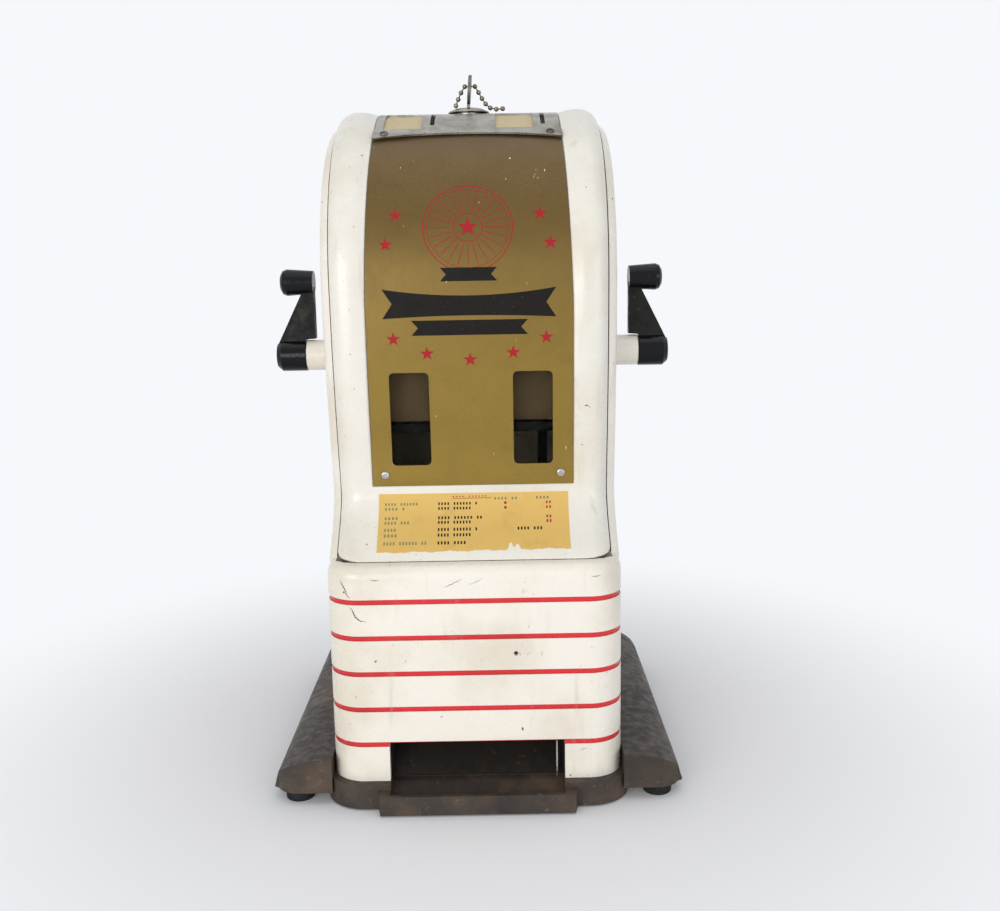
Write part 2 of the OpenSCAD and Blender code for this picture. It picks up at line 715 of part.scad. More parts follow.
// Pane behind a window, held against the face plate
module pane(x) {
    d = plate_sink + plate_t;
    color([0.8, 0.85, 0.85, 0.4]) band(s_at_z(window_low - 2), s_at_z(window_high + 4), d, d + 1.5,
        x - window_w / 2 - 3, x + window_w / 2 + 3);
}

module window_left() { pane(-magazine_x); }
module window_right() { pane(magazine_x); }

// Openings of the coin plate, from the middle of each: places across and along the arch
card_w = 24.1;
card_x = [-40.85, 29.45];
card_low = s_at_angle(120.8);
card_high = s_at_angle(99);
slot_w = 2.8;
slot_angles = [117.5, 97];

module coin_plate() {
    d = plate_sink;
    color(BRIGHT) difference() {
        band(plate_low + 0.003, plate_high, d - 0.3, d + plate_t - 4 * seat_gap,
            -rail_half + plate_gap, rail_half - plate_gap);
        for (x = card_x) band(card_low, card_high, -2, 8, x - card_w / 2, x + card_w / 2);
        for (x = chute_x) band(s_at_angle(slot_angles[0]), s_at_angle(slot_angles[1]), -2, 8, x - slot_w / 2,
            x + slot_w / 2);
        translate([0, lock_y, dome_z]) cylinder(h = 130, d = barrel_d + 0.6);
        for (x = [-1, 1]) coin_screw_place(x) cylinder(h = 30, d = 2.7, center = true);
    }
}

module coin_screw_place(side) {
    a = lip_angle - 1.8;
    translate([side * (rail_half - 10.9), dome_y, dome_z]) rotate([a - 90, 0, 0])
        translate([0, 0, rail_r - plate_sink + 0.3]) children();
}

module coin_plate_screws() {
    color(STEEL) for (x = [-1, 1]) coin_screw_place(x) {
        translate([0, 0, 0.05]) cylinder(h = 1.2, d = 5);
        translate([0, 0, -2]) cylinder(h = 2.5, d = 2.6);
    }
}

module price_card(x) {
    d = plate_sink + plate_t;
    color(PAPER) band(card_low - 0.02, card_high + 0.02, d + 0.1, d + 0.7, x - card_w / 2 - 2, x + card_w / 2 + 2);
}

module price_card_left() { price_card(card_x[0]); }
module price_card_right() { price_card(card_x[1]); }

module rate_label() {
    label_half = rail_half - 3.5;
    color(PAPER) intersection() {
        band(0, 1, -0.35, -0.02, -label_half, label_half);
        box(-label_half, label_half, front_y, 0, shoulder_z + 5, waist[1] + 1);
    }
}

// ---- Lock, on the top of the cover ----

module lock_body() {
    rim = 2.2;
    color(BRIGHT) translate([0, lock_y, 0]) difference() {
        union() {
            translate([0, 0, barrel_low]) cylinder(h = lock_rim - barrel_low, d = barrel_d);
            translate([0, 0, lock_rim]) cylinder(h = rim - 1.2, d = lock_d);
            translate([0, 0, lock_rim + rim - 1.2])
                cylinder(h = lock_top - lock_rim - rim + 1.2, d1 = lock_d, d2 = lock_d - 9);
        }
        translate([0, 0, barrel_low - 1]) cylinder(h = 60, d = plug_d + 2 * run_gap);
    }
}

module lock_plug() {
    low = barrel_low - 0.3;
    color(BRASS) translate([0, lock_y, 0]) difference() {
        union() {
            translate([0, 0, low]) cylinder(h = lock_top - low, d = plug_d);
            translate([0, 0, low - 3]) cylinder(h = 3, d = 7);
        }
        translate([-key_t / 2 - seat_gap, -4.5 - seat_gap, lock_top - 22]) cube([key_t + 2 * seat_gap, 9.1, 30]);
        translate([0, 0, low - 4]) cylinder(h = 9, d = 3 + 2 * seat_gap);
    }
}

module lock_cam() {
    high = barrel_low - 0.4;
    color(STEEL) translate([0, lock_y, high - 2.5]) difference() {
        union() {
            cylinder(h = 2.5, d = 15);
            translate([0, -5, 0]) cube([22, 10, 2.5]);
        }
        translate([0, 0, -1]) cylinder(h = 5, d = 7 + 2 * seat_gap);
    }
}

module cam_screw() {
    low = barrel_low - 3.3;
    color(STEEL) translate([0, lock_y, low - seat_gap]) {
        translate([0, 0, -2]) cylinder(h = 2, d = 10);
        cylinder(h = 7, d = 3);
    }
}

module key() {
    r = key_bow_d / 2;
    color(BRASS) translate([0, lock_y, 0]) {
        translate([-key_t / 2, -4.5, lock_top - 21]) cube([key_t, 9, 21 + key_bend + 1]);
        translate([0, 0, lock_top + key_bend]) rotate([0, key_lean, 0]) difference() {
            translate([-key_t / 2, 0, key_bow_z - lock_top - key_bend]) rotate([0, 90, 0])
                linear_extrude(key_t) {
                    circle(r);
                    translate([0, -3.8]) square([key_bow_z - lock_top - key_bend + 0.8, 7.6]);
                }
            translate([-key_t, 0, key_hole_z - lock_top - key_bend]) rotate([0, 90, 0])
                cylinder(h = 2 * key_t, d = 4.4);
        }
    }
}

module key_chain() {
    origin = [(key_hole_z - lock_top) * sin(key_lean), lock_y, key_hole_z];
    left = [for (i = [len(chain_left) - 1:-1:0]) chain_left[i]];
    beads = concat(left, chain_right);
    color(BRIGHT) translate(origin) {
        for (p = beads) translate(p) sphere(d = bead_d);
        for (i = [0:len(beads) - 2]) chain_link(beads[i], beads[i + 1]);
    }
}

// Wire between two neighbouring beads, loose at both ends
module chain_link(a, b) {
    v = b - a;
    span = norm(v);
    play = bead_d / 2 + seat_gap;
    translate(a) rotate([0, acos(v[2] / span), atan2(v[1], v[0])]) translate([0, 0, play])
        cylinder(h = span - 2 * play, d = 0.9);
}

// ---- Levers ----

module lever() {
    inner = half_w + boss_len + slide_gap;
    outer = half_w + 39;
    web_in = half_w + web_gap;
    top = lever_reach - 3;
    color(BLACK) difference() {
        union() {
            rod_x(inner, outer - 3, lever_y, lever_z, hub_d);
            rod_x(outer - 3 - TINY, outer, lever_y, lever_z, hub_d - 5);
            translate([0, lever_y + 4, lever_z]) rotate([90, 0, 0]) linear_extrude(8)
                polygon([[inner, 0], [outer - 1.5, 0], [outer - 1, 8], [half_w + 22, top - 5],
                    [half_w + 22, top], [web_in, top], [web_in, boss_d / 2 + 1], [inner, boss_d / 2 + 0.6]]);
        }
        rod_x(half_w, shaft_end + seat_gap, lever_y, lever_z, shaft_d + 2 * seat_gap);
    }
}

module grip() {
    x0 = half_w + web_gap;
    taper = 17.4;
    z = lever_z + lever_reach;
    color(BLACK) difference() {
        union() {
            translate([x0, lever_y, z]) rotate([0, 90, 0]) cylinder(h = taper, d1 = 15, d2 = 17.4);
            translate([x0 + taper - TINY, lever_y, z]) rotate([0, 90, 0]) cylinder(h = 2.5, d1 = 17.4, d2 = 15.6);
            translate([x0 + taper + 2.5 - 2 * TINY, lever_y, z]) rotate([0, 90, 0]) cylinder(h = 1.5, d1 = 15.6, d2 = 11);
        }
        // Slot over the top of the lever's web
        box(x0 - 1, half_w + 22.4, lever_y - 4 - seat_gap, lever_y + 4 + seat_gap, z - 20, z - 3 + seat_gap);
    }
}

module shaft() {
    color(STEEL) rod_x(crank_x, shaft_end, lever_y, lever_z, shaft_d);
}

module crank() {
    pin = [lever_y - crank_swing, lever_z - crank_drop];
    color(STEEL) difference() {
        union() {
            rod_x(crank_x, crank_x + crank_t, lever_y, lever_z, 18);
            rod_x(crank_x, crank_x + crank_t, pin[0], pin[1], 10);
            translate([crank_x, lever_y, lever_z]) rotate([lever_turn / 2 * -1, 0, 0])
                translate([0, -4, -crank_len]) cube([crank_t, 8, crank_len]);
            rod_x(fork_x - 0.8, crank_x + 1, pin[0], pin[1], crank_pin_d);
        }
        rod_x(crank_x - 1, crank_x + crank_t + 1, lever_y, lever_z, shaft_d + 2 * seat_gap);
    }
}

module lever_left() { mirrored() lever(); }
module lever_right() { lever(); }
module grip_left() { mirrored() grip(); }
module grip_right() { grip(); }
module shaft_left() { mirrored() shaft(); }
module shaft_right() { shaft(); }
module crank_left() { mirrored() crank(); }
module crank_right() { crank(); }

// Slide that pushes the lowest folder off the table; the crank's pin runs in its fork.
module pusher() {
    y = lever_y - crank_swing;
    slot = crank_pin_d / 2 + fork_gap;
    prong = 4;
    high = pusher_bottom + pusher_t;
    color(STEEL) {
        box(magazine_x - mag_in / 2 + 0.5, fork_x + fork_t, pusher_front, mag_front + 1.5, pusher_bottom, high);
        box(fork_x, fork_x + fork_t, pusher_front, y + slot + prong, pusher_bottom, high);
        for (s = [-1, 1]) translate([fork_x, y + s * (slot + prong / 2) - prong / 2, high - TINY])
            cube([fork_t, prong, lever_z - crank_drop + crank_pin_d / 2 + 3.5 - high]);
    }
}

module pusher_left() { mirrored() pusher(); }
module pusher_right() { pusher(); }

// Weight that rests on the stack, with the plate that shows in the window
module follower() {
    x0 = magazine_x - mag_in / 2 + 0.5;
    x1 = magazine_x + mag_in / 2 - 0.5;
    low = mag_floor + 0.5;
    color("#6B4A34") {
        box(x0, x1, mag_front + 0.5, mag_rear - mag_wall - 0.5, low, low + 8);
        box(x0, x1, mag_front + 0.5, mag_front + 2.5, low, low + 44);
    }
}

module follower_left() { mirrored() follower(); }
module follower_right() { follower(); }

base_casting();
rubber_feet();
foot_screws();
base_bolts();
cabinet_case();
drawer_runners();
mechanism_deck();
deck_screws();
magazine_left();
magazine_right();
coin_chute_left();
coin_chute_right();
delivery_ramp();
guide_strip();
bush_left();
bush_right();
return_spring_left();
return_spring_right();
strike_bar();
cover_shell();
cover_hinge();
hinge_pins();
face_plate();
face_screws();
window_left();
window_right();
coin_plate();
coin_plate_screws();
price_card_left();
price_card_right();
rate_label();
lock_body();
lock_plug();
lock_cam();
cam_screw();
key();
key_chain();
lever_left();
grip_left();
shaft_left();
crank_left();
lever_right();
grip_right();
shaft_right();
crank_right();
pusher_left();
pusher_right();
follower_left();
follower_right();
cash_drawer();
drawer_face();
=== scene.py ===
"""Visual model of a counter-top stamp vending machine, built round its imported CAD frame.

Sizes are in metres. X points right, Y to the rear and Z up, and the machine stands on z = 0.
"""

import json
import math

import bmesh
import bpy
from mathutils import Matrix, Vector

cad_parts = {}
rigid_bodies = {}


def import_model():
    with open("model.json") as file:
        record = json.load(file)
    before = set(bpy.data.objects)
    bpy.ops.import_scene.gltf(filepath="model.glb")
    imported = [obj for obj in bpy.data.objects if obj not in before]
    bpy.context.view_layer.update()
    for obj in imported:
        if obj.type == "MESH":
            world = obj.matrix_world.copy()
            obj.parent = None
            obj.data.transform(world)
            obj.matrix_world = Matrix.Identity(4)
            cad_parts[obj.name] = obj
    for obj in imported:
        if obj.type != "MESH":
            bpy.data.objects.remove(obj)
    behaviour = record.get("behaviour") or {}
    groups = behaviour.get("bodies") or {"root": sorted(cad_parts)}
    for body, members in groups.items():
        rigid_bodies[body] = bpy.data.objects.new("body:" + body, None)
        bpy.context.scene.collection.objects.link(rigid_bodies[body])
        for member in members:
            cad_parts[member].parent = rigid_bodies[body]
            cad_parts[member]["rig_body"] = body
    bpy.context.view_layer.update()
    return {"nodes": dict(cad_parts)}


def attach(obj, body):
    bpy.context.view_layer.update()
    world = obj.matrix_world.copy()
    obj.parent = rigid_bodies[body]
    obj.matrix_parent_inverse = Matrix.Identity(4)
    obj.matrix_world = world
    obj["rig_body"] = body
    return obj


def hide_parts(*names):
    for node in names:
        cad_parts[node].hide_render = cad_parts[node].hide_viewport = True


bl_info = {
    "name": "Stamp vending machine",
    "version": (1, 0, 0),
    "blender": (4, 5, 0),
    "location": "View3D > Sidebar > Vending",
    "description": "Builds the looks of a counter-top stamp vending machine",
    "category": "Object",
}

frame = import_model()
nodes = frame["nodes"]
MM = 0.001

# ---- Sizes that the CAD gives, in millimetres ----

HALF_W = 90.0  # half of the case's width
INNER_HALF = 84.5  # inside of the cast walls
COVER_HALF = 83.8  # outside of the cover
FRONT_Y = -111.5
REAR_Y = 125.5
FRONT_CORNER, REAR_CORNER = 21.0, 9.0  # radii in plan
SHOULDER_Z = 153.0
PLINTH_Z = 16.5
CEILING_Z = 136.9  # top of the hollow under the shoulder
DOME = (24.5, 320.0)  # the dome's axis in Y and Z
RAIL_R = 110.0
CASE_R = 101.0
COVER_END = 55.0  # degrees up from the rear
WALL = 3.0
CASTING = 5.5  # walls of the cabinet at the front and rear
HINGE = (-90.5, 155.5)  # axis of the cover's hinge in Y and Z
TROUGH_R = 12.6  # of the hollow round the hinge
PIN_R = 2.04  # bore for the hinge's pins
LUG_X = (57.0, 64.0)  # the right hinge lug
BOSS_END = 109.5  # outer ends of the bosses round the levers' shafts
BOSS_R, SHAFT_R = 10.0, 7.05
LEDGE = ((76.5, 85.5), (-50.0, 48.0), (220.0, 226.0))  # the deck's right ledge in X, Y and Z
POST_X, POST_TOP, POST_R, BOLT_R = 79.0, 40.5, 6.0, 3.05  # posts that take the base's bolts
POST_Y = (FRONT_Y + 25, 13.5)
MOUTH = (53.8, 41.1)  # half width and top of the delivery opening
DRAWER = (71.0, 108.5)  # half width and top of the drawer's opening
PROUD = 0.04  # the head over the cabinet, so that no two joined faces share a plane
PLATE_SINK = 2.5
PLATE_T = 1.2
APRON = ((-102.3, 153.3), (-99.0, 161.0), (-77.0, 172.0), (-74.0, 188.0))
RISE = ((-74.0, 188.0), (-74.0, 205.0), (-85.5, 250.0), (-85.5, 320.0))
FACE_FOOT_Z = 194.0  # foot of the face plate
LIP_ANGLE = 126.5  # where the face plate meets the coin plate
LABEL_HALF, LABEL_TOP = 58.9, 189.0
WINDOW_X = 37.6
WINDOW_W = 24.2
WINDOW_Z = (207.0, 265.0)
COIN_SLOT_X = (-22.3, 47.6)
CARD_X = (-40.85, 29.45)
CARD_W = 24.1
SLOT_ANGLES = (117.5, 97)
CARD_ANGLES = (120.8, 99)
BAND_ANGLE = 119.9  # top of the swelling band along the coin plate's lip
STRIPE_Z = [40.2 + 22.6 * i for i in range(5)]
LOCK_Y = 21.5
LEVER_Y = -11.5
LEVER_Z = 271.4
HUB_R = 10.35
HUB_END = 126.0  # where the hub starts to close in


# ---- The cover's profile ----


def arch_point(radius, angle):
    """Point round the dome's axis, in Y and Z."""
    return DOME[0] + radius * math.cos(angle), DOME[1] + radius * math.sin(angle)


def bezier(points, t):
    """Point of a cubic curve in Y and Z."""
    u = 1 - t
    weights = (u**3, 3 * t * u * u, 3 * t * t * u, t**3)
    return Vector([sum(w * p[axis] for w, p in zip(weights, points)) for axis in (0, 1)])


def profile(s):
    """Crown line of the rails: 0 to 1 is the apron, 1 to 2 the rise, 2 to 3 the arch."""
    if s <= 1:
        return bezier(APRON, s)
    if s <= 2:
        return bezier(RISE, s - 1)
    return Vector(arch_point(RAIL_R, math.radians(180 - (s - 2) * (180 - COVER_END))))


def inward(s):
    """Unit direction from the crown line into the machine, in Y and Z."""
    if s <= 2:
        return Vector((1, 0))
    a = math.radians(180 - (s - 2) * (180 - COVER_END))
    return Vector((-math.cos(a), -math.sin(a)))


def stretch(s):
    """How much the section deepens toward the foot, where the depth is measured level."""
    return 1 if s >= 2 else 1.5 if s <= 1 else 1.5 - 0.5 * (s - 1)


def surface(x, s, depth):
    """Point of the cover in metres, from its places across and along and its depth below the crown."""
    p = profile(s) + depth * inward(s)
    return Vector((x, p[0], p[1])) * MM


def s_at_z(z):
    """Place along the profile at a height."""
    low, high = 0.0, 2.0
    while high - low > 1e-5:
        mid = (low + high) / 2
        low, high = (mid, high) if profile(mid)[1] < z else (low, mid)
    return low


def s_at_angle(degrees):
    return 2 + (180 - degrees) / (180 - COVER_END)


FACE_LOW = s_at_z(FACE_FOOT_Z)
LIP = s_at_angle(LIP_ANGLE)
PLATE_HIGH = s_at_angle(COVER_END + 4)


# ---- Materials ----


def linear(code):
    """Colour in linear light, from an sRGB hex value."""
    values = [int(code[i : i + 2], 16) / 255 for i in (1, 3, 5)]
    return (*(v / 12.92 if v <= 0.04045 else ((v + 0.055) / 1.055) ** 2.4 for v in values), 1.0)


def add(tree, kind, inputs=None, stops=None, **settings):
    """Adds a shader node with its settings, its inputs as values or links, and a ramp's stops."""
    node = tree.nodes.new("ShaderNode" + kind)
    for name, value in settings.items():
        setattr(node, name, value)
    for key, value in (inputs or {}).items():
        if isinstance(value, bpy.types.NodeSocket):
            tree.links.new(value, node.inputs[key])
        else:
            node.inputs[key].default_value = value
    if stops:
        elements = node.color_ramp.elements
        while len(elements) < len(stops):
            elements.new(0.5)
        for element, (place, value) in zip(elements, stops):
            element.position = place
            element.color = linear(value)
    return node


def material(name, inputs=None):
    """A new material and its tree, with the surface shader's plain values set."""
    made = bpy.data.materials.new(name)
    made.use_nodes = True
    tree = made.node_tree
    shader = tree.nodes["Principled BSDF"]
    for key, value in (inputs or {}).items():
        shader.inputs[key].default_value = value
    return made, tree, shader


def patches(tree, size, low, high, bottom=0.0, top=1.0, detail=4.0, rough=0.55, along=(1, 1, 1)):
    """Soft patches of a size in millimetres: bottom to top where the noise passes from low to high."""
    place = add(tree, "TexCoord")
    scaled = add(tree, "Mapping", {"Vector": place.outputs["Object"], "Scale": along})
    grain = {"Vector": scaled.outputs[0], "Scale": 1 / (size * MM), "Detail": detail, "Roughness": rough}
    noise = add(tree, "TexNoise", grain)
    reach = {"Value": noise.outputs[0], "From Min": low, "From Max": high, "To Min": bottom, "To Max": top}
    return add(tree, "MapRange", reach, interpolation_type="SMOOTHSTEP").outputs[0]


def laid(tree, under, colour, *shares):
    """A colour laid over another where all the shares are high."""
    share = shares[0]
    for other in shares[1:]:
        share = add(tree, "Math", {0: share, 1: other}, operation="MULTIPLY").outputs[0]
    return add(tree, "Mix", {0: share, 6: under, 7: linear(colour)}, data_type="RGBA").outputs[2]


def skin(tree, shader, colour, size, smooth, rough, relief):
    """Joins a colour to the shader, with a roughness and a relief in metres that vary in patches."""
    shine = patches(tree, size, 0.3, 0.7, smooth, rough)
    height = patches(tree, size / 4, 0.2, 0.8)
    bump = add(tree, "Bump", {"Height": height, "Strength": 0.5, "Distance": relief})
    for source, key in ((colour, "Base Color"), (shine, "Roughness"), (bump.outputs[0], "Normal")):
        tree.links.new(source, shader.inputs[key])


def enamel(name, base, aged, chip="#5C5248"):
    """Baked enamel over cast metal: an even, slightly orange-peeled gloss with grime and small chips."""
    plain = {"IOR": 1.5, "Specular IOR Level": 0.4, "Coat Weight": 0.1, "Coat Roughness": 0.2}
    made, tree, shader = material(name, plain)
    # Ageing in soft clouds about 60 mm wide
    colour = laid(tree, linear(base), aged, patches(tree, 62, 0.42, 0.72))
    # Grime in fine specks, thicker in a few places
    specks = patches(tree, 2.4, 0.64, 0.72, top=0.7)
    colour = laid(tree, colour, "#A99D86", specks, patches(tree, 30, 0.5, 0.66))
    # Rubbed streaks that run down the casting
    streaks = patches(tree, 9, 0.6, 0.78, top=0.3, along=(1, 1, 0.12))
    colour = laid(tree, colour, "#B8AC94", streaks)
    # Chips about 1 mm wide, down to the bare casting
    chips = patches(tree, 3.3, 0.735, 0.75, detail=2, rough=0.4)
    colour = laid(tree, colour, chip, chips, patches(tree, 45, 0.5, 0.6, detail=3))
    skin(tree, shader, colour, 11, 0.2, 0.36, 0.00003)
    return made


def cast_iron():
    """Cast iron with worn brown-black japanning: a grainy skin, rust and rubbed dust."""
    made, tree, shader = material("Japanned cast iron", {"Specular IOR Level": 0.3})
    rust = patches(tree, 40, 0.45, 0.72, top=0.7, detail=6, rough=0.6)
    colour = laid(tree, linear("#3F3833"), "#685543", rust)
    colour = laid(tree, colour, "#2C2926", patches(tree, 70, 0.5, 0.66, top=0.7))
    dust = patches(tree, 4, 0.6, 0.74, top=0.45, detail=5, rough=0.7)
    colour = laid(tree, colour, "#94836F", dust)
    skin(tree, shader, colour, 6, 0.42, 0.7, 0.00012)
    return made


def metal(name, base, dull, roughness):
    """Metal with a drawn or brushed surface that has dulled in clouds and spots."""
    made, tree, shader = material(name, {"Metallic": 1.0})
    colour = laid(tree, linear(base), dull, patches(tree, 22, 0.4, 0.7, detail=5))
    colour = laid(tree, colour, "#4A443C", patches(tree, 3, 0.62, 0.72, top=0.7, rough=0.6))
    skin(tree, shader, colour, 4, roughness * 0.75, roughness * 1.3, 0.00008)
    return made


def gold_lacquer():
    """Gold-bronze lacquer screened on sheet steel: flake in varnish, with a painted reflection by height
    that turns it brown and then grey toward the top.
    """
    made, tree, shader = material("Gold lacquered sheet", {"Metallic": 0.5, "IOR": 1.5})
    place = add(tree, "TexCoord")
    # Painted reflection: by height the gold darkens to olive brown up the plate and ends in a grey sheen
    # band at the top, standing for what the curved sheet mirrors.
    height = add(tree, "SeparateXYZ", {0: place.outputs["Object"]}).outputs["Z"]
    painted_sheen_span = add(tree, "MapRange", {"Value": height, "From Min": 0.25, "From Max": 0.43})
    stops = [(0, "#8E752D"), (0.35, "#7B6329"), (0.7, "#5B4522"), (0.86, "#5E4A2C")]
    stops += [(0.95, "#857767"), (1, "#7D7268")]
    colour = add(tree, "ValToRGB", {0: painted_sheen_span.outputs[0]}, stops).outputs["Color"]
    colour = laid(tree, colour, "#77602A", patches(tree, 0.7, 0.4, 0.62, top=0.35, detail=2))
    colour = laid(tree, colour, "#5A4828", patches(tree, 33, 0.54, 0.75, top=0.3, detail=6, rough=0.6))
    # Pale nicks, a few to the plate
    nicks = patches(tree, 4.5, 0.73, 0.75, detail=2, along=(1.6, 1, 0.5))
    colour = laid(tree, colour, "#D8CFA8", nicks, patches(tree, 40, 0.5, 0.56))
    skin(tree, shader, colour, 16, 0.32, 0.46, 0.00008)
    return made


def plastic(name, base, roughness, marks, gleam=0.5):
    """Moulded plastic or paint with rubbed marks."""
    made, tree, shader = material(name, {"IOR": 1.5, "Specular IOR Level": gleam})
    rubbed = patches(tree, 3.8, 0.6, 0.7, top=0.7, detail=5, rough=0.6)
    colour = laid(tree, linear(base), marks, rubbed, patches(tree, 17, 0.48, 0.6, detail=3))
    skin(tree, shader, colour, 7, roughness * 0.7, roughness * 1.4, 0.0001)
    return made


def flat_ink(name, base, worn="#8A7440"):
    """Screen-printed ink, rubbed through in fine spots."""
    made, tree, shader = material(name, {"Specular IOR Level": 0.15})
    colour = laid(tree, linear(base), worn, patches(tree, 1.7, 0.66, 0.78, top=0.5, rough=0.6))
    skin(tree, shader, colour, 8, 0.4, 0.6, 0.00003)
    return made


def clear_sheet():
    """Clear acetate sheet, faintly yellowed, that shows what lies behind it with little glare."""
    # Real acetate has an index of 1.49. One near 1 keeps the two faces from mirroring the pale studio.
    plain = {"IOR": 1.08, "Specular IOR Level": 0.3, "Transmission Weight": 1.0}
    plain["Base Color"] = linear("#F3F1E6")
    made, tree, shader = material("Clear acetate sheet", plain)
    tree.links.new(patches(tree, 17, 0.5, 0.75, 0.01, 0.06, detail=5), shader.inputs["Roughness"])
    return made


def paper(name, base, edge):
    """Printed paper, foxed with age."""
    made, tree, shader = material(name, {"IOR": 1.45})
    colour = laid(tree, linear(base), edge, patches(tree, 14, 0.5, 0.75, top=0.6, detail=6, rough=0.65))
    skin(tree, shader, colour, 4, 0.55, 0.7, 0.00004)
    return made


def make_materials():
    """Every finish on the machine, by a short name."""
    return {
        "cream": enamel("Cream baked enamel", "#E9E5DA", "#DED7C6"),
        "case": enamel("Yellowed baked enamel", "#F0EADE", "#E0D8C6"),
        "red": enamel("Red line enamel", "#D92B30", "#C4262C", "#8A3A34"),
        "iron": cast_iron(),
        "rubber": plastic("Moulded black rubber", "#1A1A1B", 0.7, "#3A3836", 0.3),
        "steel": metal("Zinc-plated steel", "#9A9C9C", "#7C7B77", 0.38),
        # Black sheet for the deck, magazines, chutes and pushers, made near black as painted shade for the
        # dim inside of the case.
        "black_sheet_and_painted_shade": plastic("Black sheet with painted shade", "#0A0B0D", 0.55, "#1C1A18", 0.08),
        "sooty": plastic("Oily sheet steel", "#1D1814", 0.6, "#4A3D30", 0.15),
        "chrome": metal("Worn nickel plate", "#A8A49B", "#7F796E", 0.34),
        "silver": metal("Nickel-plated screw", "#C4C2BC", "#8D897F", 0.25),
        "brass": metal("Tarnished brass", "#9B8350", "#6E5D3D", 0.32),
        "chain": metal("Tarnished nickel beads", "#8D8478", "#5E564B", 0.3),
        "key": metal("Worn key steel", "#7A756B", "#4F4A42", 0.35),
        "gold": gold_lacquer(),
        "gloss": plastic("Black phenolic", "#07080B", 0.13, "#454342", 0.22),
        "matte": plastic("Worn black wrinkle paint", "#171615", 0.5, "#5A4A3E", 0.2),
        "brown": plastic("Brown stove enamel", "#5C4D3C", 0.5, "#453829", 0.1),
        "pane": clear_sheet(),
        "label": paper("Yellow paper label", "#DDB765", "#CBA556"),
        "card": paper("Cream card", "#CDBE95", "#B5A379"),
        "ink_red": flat_ink("Red screen ink", "#A3262B"),
        "ink_black": flat_ink("Black screen ink", "#17130F"),
        "ink_green": flat_ink("Grey-green printing ink", "#808560", "#C9A758"),
        "crevice": plastic("Grime in a joint", "#3A2F25", 0.8, "#54463A"),
    }


# ---- Modelling by hand ----


def deselect():
    if bpy.context.object and bpy.context.object.mode != "OBJECT":
        bpy.ops.object.mode_set(mode="OBJECT")
    bpy.ops.object.select_all(action="DESELECT")


def pick(obj):
    deselect()
    bpy.context.view_layer.objects.active = obj
    obj.select_set(True)


def apply(obj, kind, **settings):
    """Adds a modifier with its settings and applies it."""
    pick(obj)
    modifier = obj.modifiers.new(kind, kind)
    for key, value in settings.items():
        setattr(modifier, key, value)
    bpy.ops.object.modifier_apply(modifier=modifier.name)
    return obj


def named(name):
    """The primitive that was just added, named, with its place moved into its mesh."""
    obj = bpy.context.object
    obj.name = obj.data.name = name
    bpy.ops.object.transform_apply(location=True, rotation=True, scale=True)
    return obj


def block(name, low, high):
    """A cube primitive between two corners in millimetres."""
    deselect()
    low, high = Vector(low) * MM, Vector(high) * MM
    bpy.ops.mesh.primitive_cube_add(size=1, location=(low + high) / 2, scale=high - low)
    return named(name)


def rod(name, start, end, radius, radius_end=None, sides=48):
    """A cylinder or cone primitive between two points in millimetres."""
    deselect()
    start, end = Vector(start) * MM, Vector(end) * MM
    way = end - start
    bpy.ops.mesh.primitive_cone_add(
        vertices=sides,
        radius1=radius * MM,
        radius2=(radius if radius_end is None else radius_end) * MM,
        depth=way.length,
        location=(start + end) / 2,
        rotation=way.to_track_quat("Z", "Y").to_euler(),
    )
    return named(name)


def edit(obj, *steps):
    """Runs mesh operators, each with its settings, with the whole object selected at first."""
    pick(obj)
    bpy.ops.object.mode_set(mode="EDIT")
    bpy.ops.mesh.select_all(action="SELECT")
    for name, settings in steps:
        getattr(bpy.ops.mesh, name)(**settings)
    bpy.ops.object.mode_set(mode="OBJECT")
    return obj


def edges_where(obj, test):
    """Selects the edges whose two ends pass a test, given in millimetres, in edge mode."""
    pick(obj)
    bpy.ops.object.mode_set(mode="EDIT")
    bpy.ops.mesh.select_mode(type="EDGE")
    mesh = bmesh.from_edit_mesh(obj.data)
    for part in (mesh.verts, mesh.edges, mesh.faces):
        for item in part:
            item.select = False
    for edge in mesh.edges:
        a, b = (v.co / MM for v in edge.verts)
        edge.select = bool(test(a, b))
    mesh.select_flush_mode()
    bmesh.update_edit_mesh(obj.data)


def faces_where(obj, test):
    """Selects the faces whose middle and normal pass a test, given in millimetres, in face mode."""
    pick(obj)
    bpy.ops.object.mode_set(mode="EDIT")
    bpy.ops.mesh.select_mode(type="FACE")
    mesh = bmesh.from_edit_mesh(obj.data)
    for face in mesh.faces:
        face.select = False
    for face in mesh.faces:
        if test(face.calc_center_median() / MM, face.normal):
            face.select = True
    bmesh.update_edit_mesh(obj.data)


def round_edges(obj, test, width, segments):
    """Bevels the edges that pass a test."""
    edges_where(obj, test)
    bpy.ops.mesh.bevel(offset=width * MM, segments=segments, profile=0.5, clamp_overlap=False)
    bpy.ops.object.mode_set(mode="OBJECT")


def cut(obj, *tools, operation="DIFFERENCE"):
    """Cuts tools out of an object, or joins them to it, and removes the tools."""
    for tool in tools:
        apply(obj, "BOOLEAN", object=tool, operation=operation, solver="EXACT")
        bpy.data.objects.remove(tool)
    return obj


def outline(name, points):
    """A flat face with any outline in metres, from a circle primitive whose points are moved."""
    deselect()
    bpy.ops.mesh.primitive_circle_add(vertices=len(points), radius=1, fill_type="NGON")
    obj = named(name)
    for vertex, point in zip(obj.data.vertices, points):
        vertex.co = point
    return obj


def side_outline(name, points, x0, x1):
    """A solid with an outline drawn in Y and Z, extruded in X."""
    obj = outline(name, [(x0 * MM, y * MM, z * MM) for y, z in points])
    way = {"value": ((x1 - x0) * MM, 0, 0)}
    return edit(
        obj,
        ("extrude_region_move", {"TRANSFORM_OT_translate": way}),
        ("select_all", {"action": "SELECT"}),
        ("normals_make_consistent", {"inside": False}),
    )


